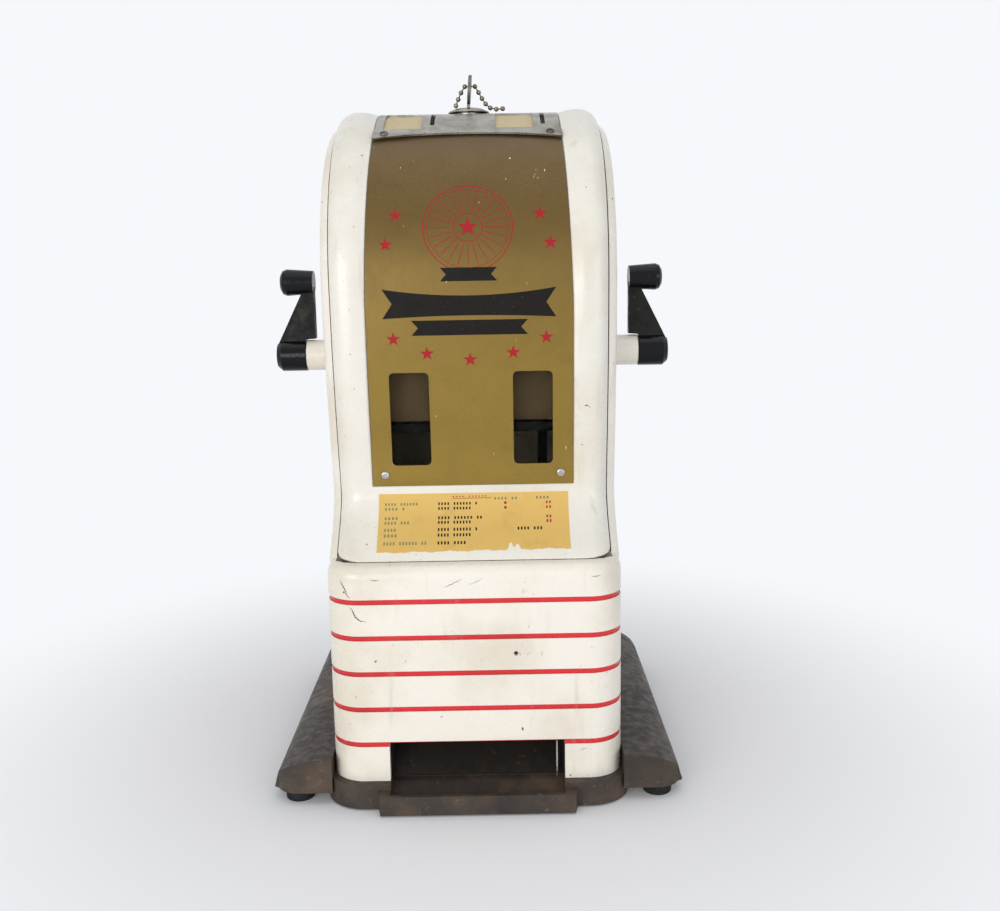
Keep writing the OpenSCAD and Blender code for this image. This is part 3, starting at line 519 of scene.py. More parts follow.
def grid(name, columns, rows, place):
    """A grid primitive whose points are moved to place(column, row), in metres."""
    deselect()
    bpy.ops.mesh.primitive_grid_add(x_subdivisions=columns, y_subdivisions=rows, size=1)
    obj = named(name)
    for vertex in obj.data.vertices:
        vertex.co = place(round((vertex.co.x + 0.5) * columns), round((vertex.co.y + 0.5) * rows))
    return obj


def sheet(name, columns, rows, place, thick, **settings):
    """A grid made into a sheet with a thickness in millimetres, inward."""
    return apply(grid(name, columns, rows, place), "SOLIDIFY", thickness=thick * MM, offset=-1, **settings)


def face_out(obj):
    """Merges doubles and turns all faces outward."""
    outward = ("normals_make_consistent", {"inside": False})
    return edit(obj, ("remove_doubles", {"threshold": 1e-6}), outward)


def shade(obj, angle=35, weighted=True):
    """Smooth shading that keeps the edges sharper than an angle."""
    pick(obj)
    bpy.ops.object.shade_smooth_by_angle(angle=math.radians(angle))
    if weighted:
        apply(obj, "WEIGHTED_NORMAL", keep_sharp=True)
    return obj


def finish_piece(obj, body, slot, *finishes, replaces=()):
    """Gives a piece its materials and its body, and hides the nodes that it stands for; the slot is not
    used.
    """
    if finishes:
        obj.data.materials.clear()
        for finish in finishes:
            obj.data.materials.append(finish)
    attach(obj, body)
    if replaces:
        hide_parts(*replaces)
    return obj


def merged_copy(node, name):
    """A copy of a CAD node's mesh with its triangles merged into faces."""
    obj = bpy.data.objects.new(name, nodes[node].data.copy())
    obj.data.name = name
    bpy.context.scene.collection.objects.link(obj)
    flat = {"angle_limit": math.radians(1)}
    return edit(obj, ("remove_doubles", {"threshold": 5e-6}), ("dissolve_limited", flat))


def eased(node, name, width, finish, slot, segments=3, angle=30, more=None):
    """A CAD node with its sharp edges eased, which stands for it."""
    obj = merged_copy(node, name)
    if more:
        more(obj)
    apply(
        obj,
        "BEVEL",
        width=width * MM,
        segments=segments,
        limit_method="ANGLE",
        angle_limit=math.radians(angle),
        use_clamp_overlap=True,
    )
    shade(obj)
    return finish_piece(obj, nodes[node]["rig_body"], slot, finish, replaces=(node,))


def paint(names, finish):
    """Gives CAD nodes that stay as they are a finish."""
    for name in names:
        materials = nodes[name].data.materials
        materials.clear()
        materials.append(finish)


# ---- Case ----


def seam(s):
    """Line of the case's edge beside the cover, in Y and Z."""
    return profile(s) + 9.0 * stretch(s) * inward(s)


def case_depth(point):
    """How far a point lies inside the cabinet's outline in plan, in millimetres."""
    x, y = abs(point[0]), point[1]
    for radius, edge, way in ((FRONT_CORNER, FRONT_Y, 1), (REAR_CORNER, REAR_Y, -1)):
        dx, dy = x - (HALF_W - radius), way * (edge + way * radius - y)
        if dx > 0 and dy > 0:
            return radius - math.hypot(dx, dy)
    return min(HALF_W - x, y - FRONT_Y, REAR_Y - y)


def cabinet_block(sizes):
    """The lower block with its rounded corners, shoulder and painted grooves."""
    cabinet = block("case", (-HALF_W, FRONT_Y, PLINTH_Z), (HALF_W, REAR_Y, SHOULDER_Z))
    round_edges(cabinet, lambda a, b: abs(a.z - b.z) > 50 and a.y < FRONT_Y + 1, FRONT_CORNER, 12)
    round_edges(cabinet, lambda a, b: abs(a.z - b.z) > 50 and a.y > REAR_Y - 1, REAR_CORNER, 6)
    round_edges(cabinet, lambda a, b: min(a.z, b.z) > SHOULDER_Z - 0.1, 8, 6)
    half = sizes.groove_height / MM / 2
    for middle in STRIPE_Z:
        for z in (middle - half, middle + half):
            edit(cabinet, ("bisect", {"plane_co": (0, 0, z * MM), "plane_no": (0, 0, 1)}))
        faces_where(cabinet, lambda c, n: abs(c.z - middle) < half and abs(n.z) < 0.1)
        bpy.ops.mesh.extrude_region_shrink_fatten(TRANSFORM_OT_shrink_fatten={"value": -sizes.groove_depth})
        bpy.ops.object.mode_set(mode="OBJECT")
    rims = [z + way * half for z in STRIPE_Z for way in (-1, 1)]

    def on_rim(a, b):
        level = abs(a.z - b.z) < 0.01 and min(abs(a.z - z) for z in rims) < 0.01
        return level and case_depth(a) < 0.2 and case_depth(b) < 0.2

    round_edges(cabinet, on_rim, 0.45, 2)
    return cabinet


def head_block(sizes):
    """The head: a side outline with its edges rounded."""
    front = [seam(2 * i / 44) for i in range(45)]
    arch = [arch_point(CASE_R, math.radians(180 - 3 * i)) for i in range(1, 61)]
    low, half = SHOULDER_Z - 12, HALF_W + PROUD
    head = side_outline("head", [(front[0][0], low), *front, *arch, (REAR_Y + PROUD, low)], -half, half)

    def on_side(a, b):
        return abs(a.x - b.x) < 0.01 and abs(a.x) > HALF_W - 0.1 and max(a.z, b.z) > low + 0.5

    round_edges(head, on_side, sizes.edge_round / MM, 8)
    return head


def case_cutters():
    """The hollow of the case, the slot for the cover and the openings."""
    back = REAR_Y - CASTING
    room = block("room", (-INNER_HALF, FRONT_Y + CASTING, PLINTH_Z - 1), (INNER_HALF, back, CEILING_Z + 1))
    round_edges(room, lambda a, b: abs(a.z - b.z) > 50 and a.y < 0, 15.5, 10)
    round_edges(room, lambda a, b: abs(a.z - b.z) > 50 and a.y > 0, 4, 4)
    end = math.radians(COVER_END - 0.2)
    step_y = -77.9  # where the apron's seat ends
    side = [(-132, SHOULDER_Z), (step_y, SHOULDER_Z), (step_y, CEILING_Z), (back, CEILING_Z)]
    side += [arch_point(CASE_R - CASTING, end * i / 22) for i in range(23)]
    side += [arch_point(150, end), (-132, 470)]
    tools = [room, side_outline("slot", side, -INNER_HALF, INNER_HALF)]
    # A trough for the hinge whose ends taper in two cones, none of them sharing a face with the next
    straight, bend, end_x = 70, 79, INNER_HALF - 0.05
    tools.append(rod("trough", (-straight, *HINGE), (straight, *HINGE), TROUGH_R, sides=64))
    for way in (-1, 1):
        start = (way * (straight - 0.4), *HINGE)
        tools.append(rod("cone", start, (way * bend, *HINGE), TROUGH_R + 0.15, 10.5, 60))
        start = (way * (bend - 0.4), *HINGE)
        tools.append(rod("cone", start, (way * end_x, *HINGE), 10.35, 5.6, 56))
    (half, top), (wide, high) = MOUTH, DRAWER
    tools.append(block("mouth", (-half, FRONT_Y - 1.3, PLINTH_Z - 1.7), (half, FRONT_Y + 6.5, top)))
    tools.append(block("back", (-wide, REAR_Y - 7, PLINTH_Z - 1.4), (wide, REAR_Y + 1.2, high)))
    return tools


def make_case(sizes, finish):
    """The cast case: cabinet and head in one, with bosses, ledges and lugs."""
    case = cut(cabinet_block(sizes), head_block(sizes), operation="UNION")
    cut(case, *case_cutters())
    lever = (LEVER_Y, LEVER_Z)
    for way in (-1, 1):
        boss = rod("boss", (way * (HALF_W - 2), *lever), (way * BOSS_END, *lever), BOSS_R, sides=64)
        round_edges(boss, lambda a, b: min(abs(a.x), abs(b.x)) > BOSS_END - 0.1, 0.9, 3)
        xs, (y0, y1), (z0, z1) = LEDGE
        x0, x1 = sorted(way * x for x in xs)
        ledge = block("ledge", (x0, y0, z0), (x1, y1, z1))
        x0, x1 = sorted(way * x for x in LUG_X)
        lug = block("lug", (x0, -88.9, CEILING_Z + 2), (x1, -81.5, HINGE[1]))
        knuckle = rod("knuckle", (x0, *HINGE), (x1, *HINGE), 3.8)
        cut(case, boss, ledge, cut(lug, knuckle, operation="UNION"), operation="UNION")
        for y in POST_Y:
            x = way * POST_X
            cut(case, rod("post", (x, y, PLINTH_Z), (x, y, POST_TOP), POST_R), operation="UNION")
            cut(case, rod("bore", (x, y, 10), (x, y, POST_TOP - 4), BOLT_R))
        shaft = rod("bore", (way * (INNER_HALF - 2), *lever), (way * (BOSS_END + 1.5), *lever), SHAFT_R)
        cut(case, shaft, rod("bore", (x0 - 1, *HINGE), (x1 + 1, *HINGE), PIN_R))
    hole_x, hole_z = 24.6, 97.4
    cut(case, rod("hole", (hole_x, FRONT_Y - 1, hole_z), (hole_x, FRONT_Y + 7, hole_z), 1.4, sides=20))
    shade(case, 32)
    finish_piece(case, "case", "enamel", finish["case"], finish["red"], replaces=("cabinet_case",))
    for face in case.data.polygons:
        c = face.center / MM
        groove = min(abs(c.z - z) for z in STRIPE_Z) < sizes.groove_height / MM / 2 + 0.02
        face.material_index = int(groove and 0.3 < case_depth(c) < 1.3)


def case_front(x, z, lift=0.02):
    """Point on the cabinet's front or on its round corner, in metres."""
    past = max(0.0, abs(x) - (HALF_W - FRONT_CORNER))
    return Vector((x, FRONT_Y + FRONT_CORNER - math.sqrt(FRONT_CORNER**2 - past**2) - lift, z)) * MM


def scratch(points, width):
    """A crack or scratch: a strip that narrows to both ends and wanders a little."""
    steps = 6
    path = []
    for a, b in zip(points, points[1:]):
        path += [Vector(a).lerp(Vector(b), i / steps) for i in range(steps)]
    path.append(Vector(points[-1]))
    count = len(path) - 1

    def place(column, row):
        ahead = (path[min(count, column + 1)] - path[max(0, column - 1)]).normalized()
        taper = 1 - (2 * column / count - 1) ** 2
        half = width / 2 * taper * (0.75 + 0.25 * math.sin(2.4 * column)) + 0.02
        away = (row * 2 - 1) * half + 0.3 * width * math.sin(1.9 * column)
        return case_front(path[column][0] - ahead[1] * away, path[column][1] + ahead[0] * away)

    return sheet("scratch", count, 1, place, 0.02)


def make_scratches(finish):
    """The cracked corner and a few long scratches in the enamel."""
    lines = [
        ([(-80.5, 144.5), (-79.2, 141.8), (-77.2, 138.4), (-76.1, 134.8), (-74, 133.4)], 0.7),
        ([(-75.1, 128.7), (-72.8, 125.1), (-71.7, 122), (-68.8, 119.5), (-64.6, 118.8)], 0.9),
        ([(-18.5, 139.1), (-13.1, 141.5), (-7, 144.5)], 0.4),
        ([(-2.9, 140.7), (5.5, 144.4)], 0.25),
        ([(63, 34.5), (67, 36)], 0.3),
        ([(-62, 144.6), (-56, 144.2)], 0.5),
        ([(70, 144.4), (76, 144.9)], 0.4),
    ]
    piece = join_all("scratches", [scratch(*line) for line in lines])
    finish_piece(piece, "case", "enamel", finish["crevice"])


# ---- Cover ----


def rail_in(s):
    """Half of the width between the rails, which close in a little toward the top."""
    return 62.4 - 4.1 * max(0.0, min(1.0, (s - 1.94) / 0.54))


def smoothed(t):
    t = max(0.0, min(1.0, t))
    return t * t * (3 - 2 * t)


def sink(s):
    """Depth of the face plate below the rails: nearly flush at its foot."""
    return 0.3 + (PLATE_SINK - 0.3) * smoothed((s - FACE_LOW) / (s_at_z(226) - FACE_LOW))


def step_mm(s, distance):
    """Place along the profile at a distance in millimetres from another."""
    rate = (profile(s + 0.002) - profile(s - 0.002)).length / 0.004
    return s + distance / rate


# The recess's rounded edge: distance out and share of the depth
ROUNDING = ((2.2, 0.0), (1.3, 0.05), (0.6, 0.16), (0.2, 0.36), (0.06, 0.6))


def cover_half(s):
    """Half of the cover's width; the apron's lower corners are rounded."""
    rise = profile(s)[1] - APRON[0][1]
    return COVER_HALF - (3.0 * (1 - math.sqrt(1 - (1 - rise / 4) ** 2)) if rise < 4 else 0)


def crown_fall(s):
    """How far the rails' inner edges lie below their crowns, which swell toward the top."""
    return 0.5 * smoothed((s - FACE_LOW) / (s_at_z(226) - FACE_LOW)) + 1.3 * smoothed((s - 1.6) / 0.7)


def cover_section(s):
    """Right half of the section, from the side in: place across, depth and share of the recess."""
    deep, wide, half, edge = 9.0 * stretch(s), 11.0 * math.sqrt(stretch(s)), cover_half(s), rail_in(s)
    points = [(half, deep + 5, 0), (half, deep + 2.5, 0)]
    for i in range(11):
        a = math.radians(9 * i)
        points.append((half - wide + wide * math.cos(a), deep - deep * math.sin(a), 0))
    start, fall = half - wide, crown_fall(s)
    for t in (0.2, 0.4, 0.6, 0.8):
        points.append((start + (edge + 2.2 - start) * t, fall * max(0.0, (t - 0.2) / 0.8) ** 2, 0))
    for out, share in ROUNDING:
        points.append((edge + out, fall, share))
    points += [(edge, fall, 1), (edge - 4, fall, 1)]
    points += [((edge - 4) * t, fall, 1) for t in (0.8, 0.6, 0.4, 0.2, 0.0)]
    return points


def cover_rows():
    """Places along the profile, each with its share of the recess."""
    foot = (0, 0.03, 0.06, 0.1, 0.15, 0.2, 0.28, 0.36, 0.44, 0.52, 0.6, 0.68, 0.76, 0.84, 0.92, 1.0)
    rows = [(s, 0) for s in foot]
    rows += [(step_mm(FACE_LOW, -out), drop) for out, drop in ROUNDING]
    rows += [(FACE_LOW, 1), (step_mm(FACE_LOW, 4), 1)]
    start, end = step_mm(FACE_LOW, 9), 2.0
    rows += [(start + (end - start) * i / 14, 1) for i in range(15)]
    high = step_mm(PLATE_HIGH, -4)
    rows += [(2 + (high - 2) * i / 26, 1) for i in range(1, 27)]
    rows += [(PLATE_HIGH, 1)]
    rows += [(step_mm(PLATE_HIGH, out), drop) for out, drop in reversed(ROUNDING)]
    rows += [(s, 0) for s in (2.975, 2.99, 3.0)]
    return rows


def make_cover(finish):
    """The cast cover: two rails over an apron, with a recess for the plates."""
    rows = cover_rows()
    half_columns = len(cover_section(0)) - 1
    sections = [cover_section(s) for s, _ in rows]

    def place(column, row):
        s, share = rows[row]
        side = abs(column - half_columns)
        x, depth, recess = sections[row][half_columns - side]
        depth += min(recess, share) * (sink(s) + PLATE_T + 0.05 - depth)
        if s > 2.96:
            depth += 1.6 * ((s - 2.96) / 0.04) ** 2
        return surface(math.copysign(x, column - half_columns), s, depth)

    cover = grid("cover", 2 * half_columns, len(rows) - 1, place)
    sunk = [i for i, (_, share) in enumerate(rows) if share == 1]
    pick(cover)
    bpy.ops.object.mode_set(mode="EDIT")
    bpy.ops.mesh.select_mode(type="FACE")
    inner = 5  # columns on each side of the middle that lie in the opening
    for face in bmesh.from_edit_mesh(cover.data).faces:
        row, column = divmod(face.index, 2 * half_columns)
        face.select = sunk[0] < row < sunk[-1] - 1 and abs(column + 0.5 - half_columns) < inner
    bpy.ops.mesh.delete(type="FACE")
    bpy.ops.object.mode_set(mode="OBJECT")
    apply(cover, "SOLIDIFY", thickness=WALL * MM, offset=-1)
    shade(cover, 40)
    finish_piece(cover, "cover", "enamel", finish["cream"], replaces=("cover_shell",))


# ---- Plates ----


def plate(name, low, high, rows, columns, depth, low_edge=None):
    """A sheet that follows the cover between two places along it."""

    def place(column, row):
        x = 2 * column / columns - 1
        base = low_edge(x) if low_edge else low
        s = base + (high - base) * row / rows
        return surface(x * (rail_in(s) - 0.3), s, depth(s))

    return sheet(name, columns, rows, place, PLATE_T, use_even_offset=True)


def window_cutter(x):
    low, high = WINDOW_Z
    tool = block("hole", (x - WINDOW_W / 2, -100, low), (x + WINDOW_W / 2, -60, high))
    round_edges(tool, lambda a, b: abs(a.y - b.y) > 10, 3, 6)
    return tool


def make_face_plate(finish):
    high = s_at_angle(LIP_ANGLE - 3)
    face = plate("face_sheet", FACE_LOW + 0.001, high, 64, 12, sink)
    cut(face, window_cutter(-WINDOW_X), window_cutter(WINDOW_X))
    shade(face, 30)
    finish_piece(face, "cover", "gold_plate", finish["gold"], replaces=("face_plate",))


def coin_depth(s):
    """The coin plate lies a little above the face plate, and swells toward its curved lip."""
    band = s_at_angle(BAND_ANGLE)
    return sink(s) - 0.6 - 1.5 * smoothed((band - s) / (band - LIP)) - 0.3 * smoothed((band - s) / 0.006)


def make_coin_plate(finish):
    def low_edge(x):
        return step_mm(LIP, 2.9 - 5.8 * x * x)

    coin = plate("coin_sheet", LIP, PLATE_HIGH, 110, 24, coin_depth, low_edge=low_edge)
    tools = [arch_block("slot", x - 1.4, x + 1.4, *SLOT_ANGLES) for x in COIN_SLOT_X]
    tools += [arch_block("gap", x - CARD_W / 2, x + CARD_W / 2, *CARD_ANGLES) for x in CARD_X]
    tools.append(rod("hole", (0, LOCK_Y, 400), (0, LOCK_Y, 445), 9.8, sides=40))
    cut(coin, *tools)
    shade(coin, 30)
    finish_piece(coin, "cover", "chrome", finish["chrome"], replaces=("coin_plate",))


def arch_block(name, x0, x1, low, high):
    """A block that runs along the arch between two angles."""
    angles = [math.radians(low + (high - low) * i / 12) for i in range(13)]
    side = [arch_point(113, a) for a in angles] + [arch_point(100, a) for a in reversed(angles)]
    return side_outline(name, side, x0, x1)


def make_cards(finish):
    """Cards behind the two windows of the coin plate."""
    for side, x in zip(("left", "right"), CARD_X):
        low, high = s_at_angle(CARD_ANGLES[0] + 1), s_at_angle(CARD_ANGLES[1] - 1)

        def place(column, row):
            s = low + (high - low) * row / 16
            across = x + (CARD_W / 2 + 2) * (column / 4 - 1)
            return surface(across, s, sink(s) + 0.75 - 0.15 * (column % 4 == 2))

        card = shade(sheet("card_" + side, 8, 16, place, 0.5), 30)
        finish_piece(card, "cover", "card", finish["card"], replaces=("price_card_" + side,))


# ---- Prints ----

LENGTHS = [(FACE_LOW, 0.0)]  # places along the profile, with their distance up the face plate
while LENGTHS[-1][0] < LIP:
    last, length = LENGTHS[-1]
    here = last + 0.004
    LENGTHS.append((here, length + (surface(0, here, 2.3) - surface(0, last, 2.3)).length / MM))


def s_along(distance):
    """Place along the profile at a distance in millimetres up from the foot of the face plate."""
    for (s0, l0), (s1, l1) in zip(LENGTHS, LENGTHS[1:]):
        if l1 >= distance:
            return s0 + (s1 - s0) * (distance - l0) / (l1 - l0)
    return LENGTHS[-1][0]


def lay_print(obj, lift=0.05):
    """Lays a flat print on the face plate: its X stays and its Y runs up the plate."""
    heights = [vertex.co.y for vertex in obj.data.vertices]
    low, step = min(heights), 2.5 * MM
    steps = []
    for i in range(1, int((max(heights) - low) / step) + 1):
        steps.append(("select_all", {"action": "SELECT"}))
        steps.append(("bisect", {"plane_co": (0, low + i * step, 0), "plane_no": (0, 1, 0)}))
    edit(obj, *steps)
    for vertex in obj.data.vertices:
        s = s_along(vertex.co.y / MM)
        vertex.co = surface(vertex.co.x / MM, s, sink(s) - lift)
    return apply(obj, "SOLIDIFY", thickness=lift * MM, offset=-1)


def strip(points):
    """A flat shape whose outline is given in millimetres."""
    return face_out(outline("strip", [(x * MM, y * MM, 0) for x, y in points]))


def star(x, up, radius):
    """A five-pointed star."""
    points = []
    for i in range(10):
        a = math.radians(90 + 36 * i)
        r = radius * (1 if i % 2 == 0 else 0.4)
        points.append((x + r * math.cos(a), up + r * math.sin(a)))
    return strip(points)


def ring(up, radius, width):
    """A flat ring: a disc inset by its width, with its middle deleted."""
    deselect()
    disc = {"vertices": 72, "radius": radius * MM, "fill_type": "NGON"}
    bpy.ops.mesh.primitive_circle_add(location=(0, up * MM, 0), **disc)
    return edit(
        named("ring"),
        ("select_mode", {"type": "FACE"}),
        ("select_all", {"action": "SELECT"}),
        ("inset", {"thickness": width * MM}),
        ("delete", {"type": "FACE"}),
    )


def join_all(name, parts):
    """Joins objects into one, under a new name."""
    deselect()
    for part in parts:
        part.select_set(True)
    bpy.context.view_layer.objects.active = parts[0]
    if len(parts) > 1:
        bpy.ops.object.join()
    parts[0].name = parts[0].data.name = name
    return parts[0]


def band(up, half, high, bow):
    """A swallow-tailed band; a bow lets its middle hang and its ends flare."""
    upper = []
    lower = []
    count = 24
    for i in range(count + 1):
        t = 2 * i / count - 1
        flare = 1 + 0.35 * bow / 5 * t * t
        rise = bow * (1 - t * t) * 0.4
        upper.append((half * t, up - rise + high / 2 * flare))
        lower.append((half * t, up - rise * 0.4 - high / 2 * flare))
    notch = high * 0.45
    return strip([*upper, (half - notch, up), *reversed(lower), (notch - half, up)])


def make_prints(finish):
    """A generic printed design: a rosette of rings and ticks, plain bands and rows of stars."""
    middle = 158
    parts = [ring(middle, r, w) for r, w in ((27, 0.6), (24.5, 0.4), (9, 0.6))]
    for i in range(24):
        a = math.radians(15 * i)
        c, n = math.cos(a), math.sin(a)
        corners = ((10.5, -0.25), (10.5, 0.25), (23, 0.25), (23, -0.25))
        parts.append(strip([(r * c + d * n, middle + r * n - d * c) for r, d in corners]))
    parts.append(star(0, middle, 6.5))
    stars = [(-43, 166), (43, 166), (-49, 148), (49, 148)]
    stars += [(-26, 83), (0, 79), (26, 83), (-46, 92), (46, 92)]
    parts += [star(x, up, 4.6) for x, up in stars]
    bands = [band(130, 17, 8, 0), band(113, 52, 13, 5), band(98.5, 35, 9, 0)]
    for name, ink, pieces in (("print_red", "ink_red", parts), ("print_black", "ink_black", bands)):
        joined = join_all(name, [lay_print(piece) for piece in pieces])
        shade(joined, 30, weighted=False)
        finish_piece(joined, "cover", "gold_plate", finish[ink])


# ---- Label on the apron ----


def torn_edge(x):
    """Height of the label's worn lower edge, with a small torn notch."""
    wave = 0.25 * math.sin(x * 0.31) + 0.15 * math.sin(x * 0.83 + 1) + 0.1 * math.sin(x * 2.1) + 0.008 * x
    notch = 4.2 * max(0.0, 1 - abs(x - 22.5) / 2.0) + 3.4 * max(0.0, 1 - abs(x - 26.6) / 2.2)
    return 158.4 + wave + notch


def dashes(x0, x1, z, height=1.5, pitch=0.95):
    """A printed row: a strip with every other cell deleted, and wider gaps as between words."""
    count = 2 * int((x1 - x0) / pitch / 2)
    width = (x1 - x0) / count

    def place(column, row):
        return surface(x0 + (x1 - x0) * column / count, s_at_z(z + height * row), -0.2)

    line = grid("row", count, 1, place)
    if pitch < 2:
        for every, left_out in ((2, 1), (14, 8)):
            faces_where(line, lambda c, n: int((c.x - x0) / width) % every == left_out)
            bpy.ops.mesh.delete(type="FACE")
        bpy.ops.object.mode_set(mode="OBJECT")
    return apply(line, "SOLIDIFY", thickness=0.04 * MM, offset=-1)


def make_label(finish):
    """The paper label on the apron, with rows of dashes where it was printed."""
    columns, rows = 118, 14

    def place(column, row):
        x = -LABEL_HALF + 2 * LABEL_HALF * column / columns
        low = torn_edge(x)
        return surface(x, s_at_z(low + (LABEL_TOP - low) * row / rows), -0.16)

    label = shade(sheet("label_sheet", columns, rows, place, 0.14), 30)
    finish_piece(label, "cover", "card", finish["label"], replaces=("rate_label",))
    heights = (182.0, 179.3, 174.2, 171.8, 168.2, 165.4, 161.6)
    black_ends = (3, -1, 6, -1, 3, -1, -4)
    green_ends = (-32, -42, -46, -39, -45, -44, -28)
    # For each ink, the rows' ends in X and their heights; a title row is underlined by a plain strip
    printed = {
        "ink_red": [(-13, 11, 186.6, 1.2), (-13, 11, 185.6, 0.35, 4)]
        + [(19, 22, z) for z in heights[:2]]
        + [(45, 49, z) for z in heights[:4]],
        "ink_black": [(-22, end, z) for z, end in zip(heights, black_ends)] + [(27, 43, heights[4])],
        "ink_green": [(-55, end, z) for z, end in zip(heights, green_ends)]
        + [(13, 28, 184.6), (39, 50, 184.8)],
    }
    for ink, lines in printed.items():
        joined = join_all("label_" + ink, [dashes(*line) for line in lines])
        finish_piece(joined, "cover", "card", finish[ink])


# ---- Screws and rivets ----


def face_point(x, s, depth):
    """Point on the cover and the outward direction there."""
    out = surface(0, s, depth - 1) - surface(0, s, depth)
    if s <= 2:
        along = profile(s + 0.003) - profile(s - 0.003)
        out = Vector((0, -along[1], along[0]))
    return surface(x, s, depth), out.normalized()


def domed_head(name, place, out, radius, height, slotted=False):
    """A domed head on a short shank: a cylinder whose rim is bevelled round."""
    base, top = place / MM - 1.6 * out, place / MM + height * out
    head = rod(name, base, top, radius, sides=32)
    far = place + out * (height - 0.02) * MM

    def on_top(a, b):
        return min((a * MM - far).dot(out), (b * MM - far).dot(out)) > -1e-5

    round_edges(head, on_top, min(height * 0.95, radius * 0.8), 5)
    if slotted:
        side = Vector((1, 0, 0.35)).normalized()
        deselect()
        bpy.ops.mesh.primitive_cube_add(size=1, scale=(radius * 2.4 * MM, 0.8 * MM, 1.1 * MM))
        tool = named("slot")
        turn = Matrix((side, out.cross(side), out)).transposed().to_4x4()
        turn.translation = place + out * (height + 0.15) * MM
        tool.data.transform(turn)
        cut(head, tool)
    return shade(head, 30)


def make_screws(finish):
    """A pair of rivets at the face plate's foot and a pair of slotted screws at the lip."""
    foot, lip = s_at_z(201), s_at_angle(LIP_ANGLE - 1.2)
    pairs = (
        ("face_rivets", "face_screws", "silver", 54.4, foot, sink(foot), 2.8, 1.3, False),
        ("lip_screws", "coin_plate_screws", "key", 51.5, lip, coin_depth(lip), 2.6, 1.1, True),
    )
    for name, node, key, x, s, depth, radius, height, slotted in pairs:
        places = [face_point(way * x, s, depth) for way in (-1, 1)]
        heads = [domed_head("head", *place, radius, height, slotted) for place in places]
        finish_piece(join_all(name, heads), "cover", "steel", finish[key], replaces=(node,))


# ---- Windows ----


def make_windows(finish):
    for side, way in (("left", -1), ("right", 1)):

        def place(column, row):
            s0, s1 = s_at_z(WINDOW_Z[0] - 2), s_at_z(WINDOW_Z[1] + 4)
            s = s0 + (s1 - s0) * row / 20
            x = way * WINDOW_X + (WINDOW_W / 2 + 3) * (column / 2 - 1)
            return surface(x, s, sink(s) + PLATE_T + 0.1)

        pane = shade(sheet("pane_" + side, 4, 20, place, 0.8), 30)
        finish_piece(pane, "cover", "pane", finish["pane"], replaces=("window_" + side,))


# ---- Levers ----


def round_hub(arm):
    """Turns the step at the hub's outer end into a cone, so that its bevel runs round."""
    low, high = 7.3 * MM, 8.4 * MM  # radii that the step's inner corner lies between
    for vertex in arm.data.vertices:
        across = Vector((vertex.co.y - LEVER_Y * MM, vertex.co.z - LEVER_Z * MM))
        if abs(abs(vertex.co.x) - HUB_END * MM) < 0.2 * MM and low < across.length < high:
            across *= (HUB_R - 0.1) * MM / across.length
            vertex.co.y, vertex.co.z = across[0] + LEVER_Y * MM, across[1] + LEVER_Z * MM


def make_levers(finish):
    """Glossy hubs and grips on worn webs."""
    for side in ("left", "right"):
        web = {"segments": 4, "angle": 25, "more": round_hub}
        arm = eased("lever_" + side, "arm_" + side, 1.6, finish["matte"], "lever_black", **web)
        arm.data.materials.append(finish["gloss"])
        for face in arm.data.polygons:
            c = face.center / MM
            face.material_index = int(math.hypot(c.y - LEVER_Y, c.z - LEVER_Z) < HUB_R + 0.1)
        eased("grip_" + side, "handle_" + side, 1.3, finish["gloss"], "lever_black", segments=4, angle=20)


# ---- Base, lock, rear and the inside ----


def make_base(finish):
    """The base, its feet and the strip beside the opening."""

    def spread(casting):
        """The wings' outer edges lean out toward the floor."""
        edge_x, top_z, lean = 125 * MM, 12 * MM, 2.4 * MM
        for vertex in casting.data.vertices:
            if abs(vertex.co.x) > edge_x and vertex.co.z < top_z:
                vertex.co.x += math.copysign(lean, vertex.co.x)

    eased("base_casting", "casting", 1.2, finish["iron"], "iron", segments=3, angle=28, more=spread)
    eased("rubber_feet", "feet", 1.2, finish["rubber"], "rubber")

    def nearer(strip):
        """The strip stands a little way into the opening."""
        for vertex in strip.data.vertices:
            vertex.co.x -= 4.2 * MM
            vertex.co.y += 1.5 * MM

    eased("guide_strip", "guide_rail", 0.3, finish["silver"], "steel", more=nearer)


def make_lock(finish):
    eased("lock_body", "lock_boss", 0.8, finish["chrome"], "chrome", angle=20)
    eased("lock_plug", "lock_core", 0.2, finish["brass"], "brass")
    eased("key", "key_blade", 0.3, finish["key"], "brass")


def paint_inside(finish):
    """The nodes whose CAD shape is right, each with its own finish, and the drawer's front."""
    paint(["drawer_runners", "deck_screws", "return_spring_left", "return_spring_right"], finish["steel"])
    paint(["strike_bar", "cover_hinge", "hinge_pins", "lock_cam", "cam_screw"], finish["steel"])
    paint(["cash_drawer", "shaft_left", "shaft_right", "crank_left", "crank_right"], finish["steel"])
    paint(["base_bolts", "foot_screws"], finish["steel"])
    # The mechanism's near-black finish is black sheet and painted shade for the dim inside of the case.
    paint(["mechanism_deck", "magazine_left", "magazine_right", "coin_chute_left"], finish["black_sheet_and_painted_shade"])
    paint(["coin_chute_right", "pusher_left", "pusher_right"], finish["black_sheet_and_painted_shade"])
    paint(["delivery_ramp"], finish["sooty"])
    paint(["bush_left", "bush_right"], finish["brass"])
    paint(["key_chain"], finish["chain"])
    paint(["follower_left", "follower_right"], finish["brown"])
    eased("drawer_face", "drawer_front", 0.6, finish["case"], "enamel")
    for name in ("key_chain", "shaft_left", "shaft_right"):
        pick(nodes[name])
        bpy.ops.object.shade_smooth_by_angle(angle=math.radians(30))


# ---- Stage ----

FOCAL = 1089.5  # in pixels of a picture 1000 pixels wide
PITCH, YAW, ROLL = 0.1735, 0.0018, -0.0170
CAMERA = (15.74, -738.43, 328.66)
SENSOR = 36.0
WHITE = "#F6F8FC"  # of the surroundings, as the camera sees them


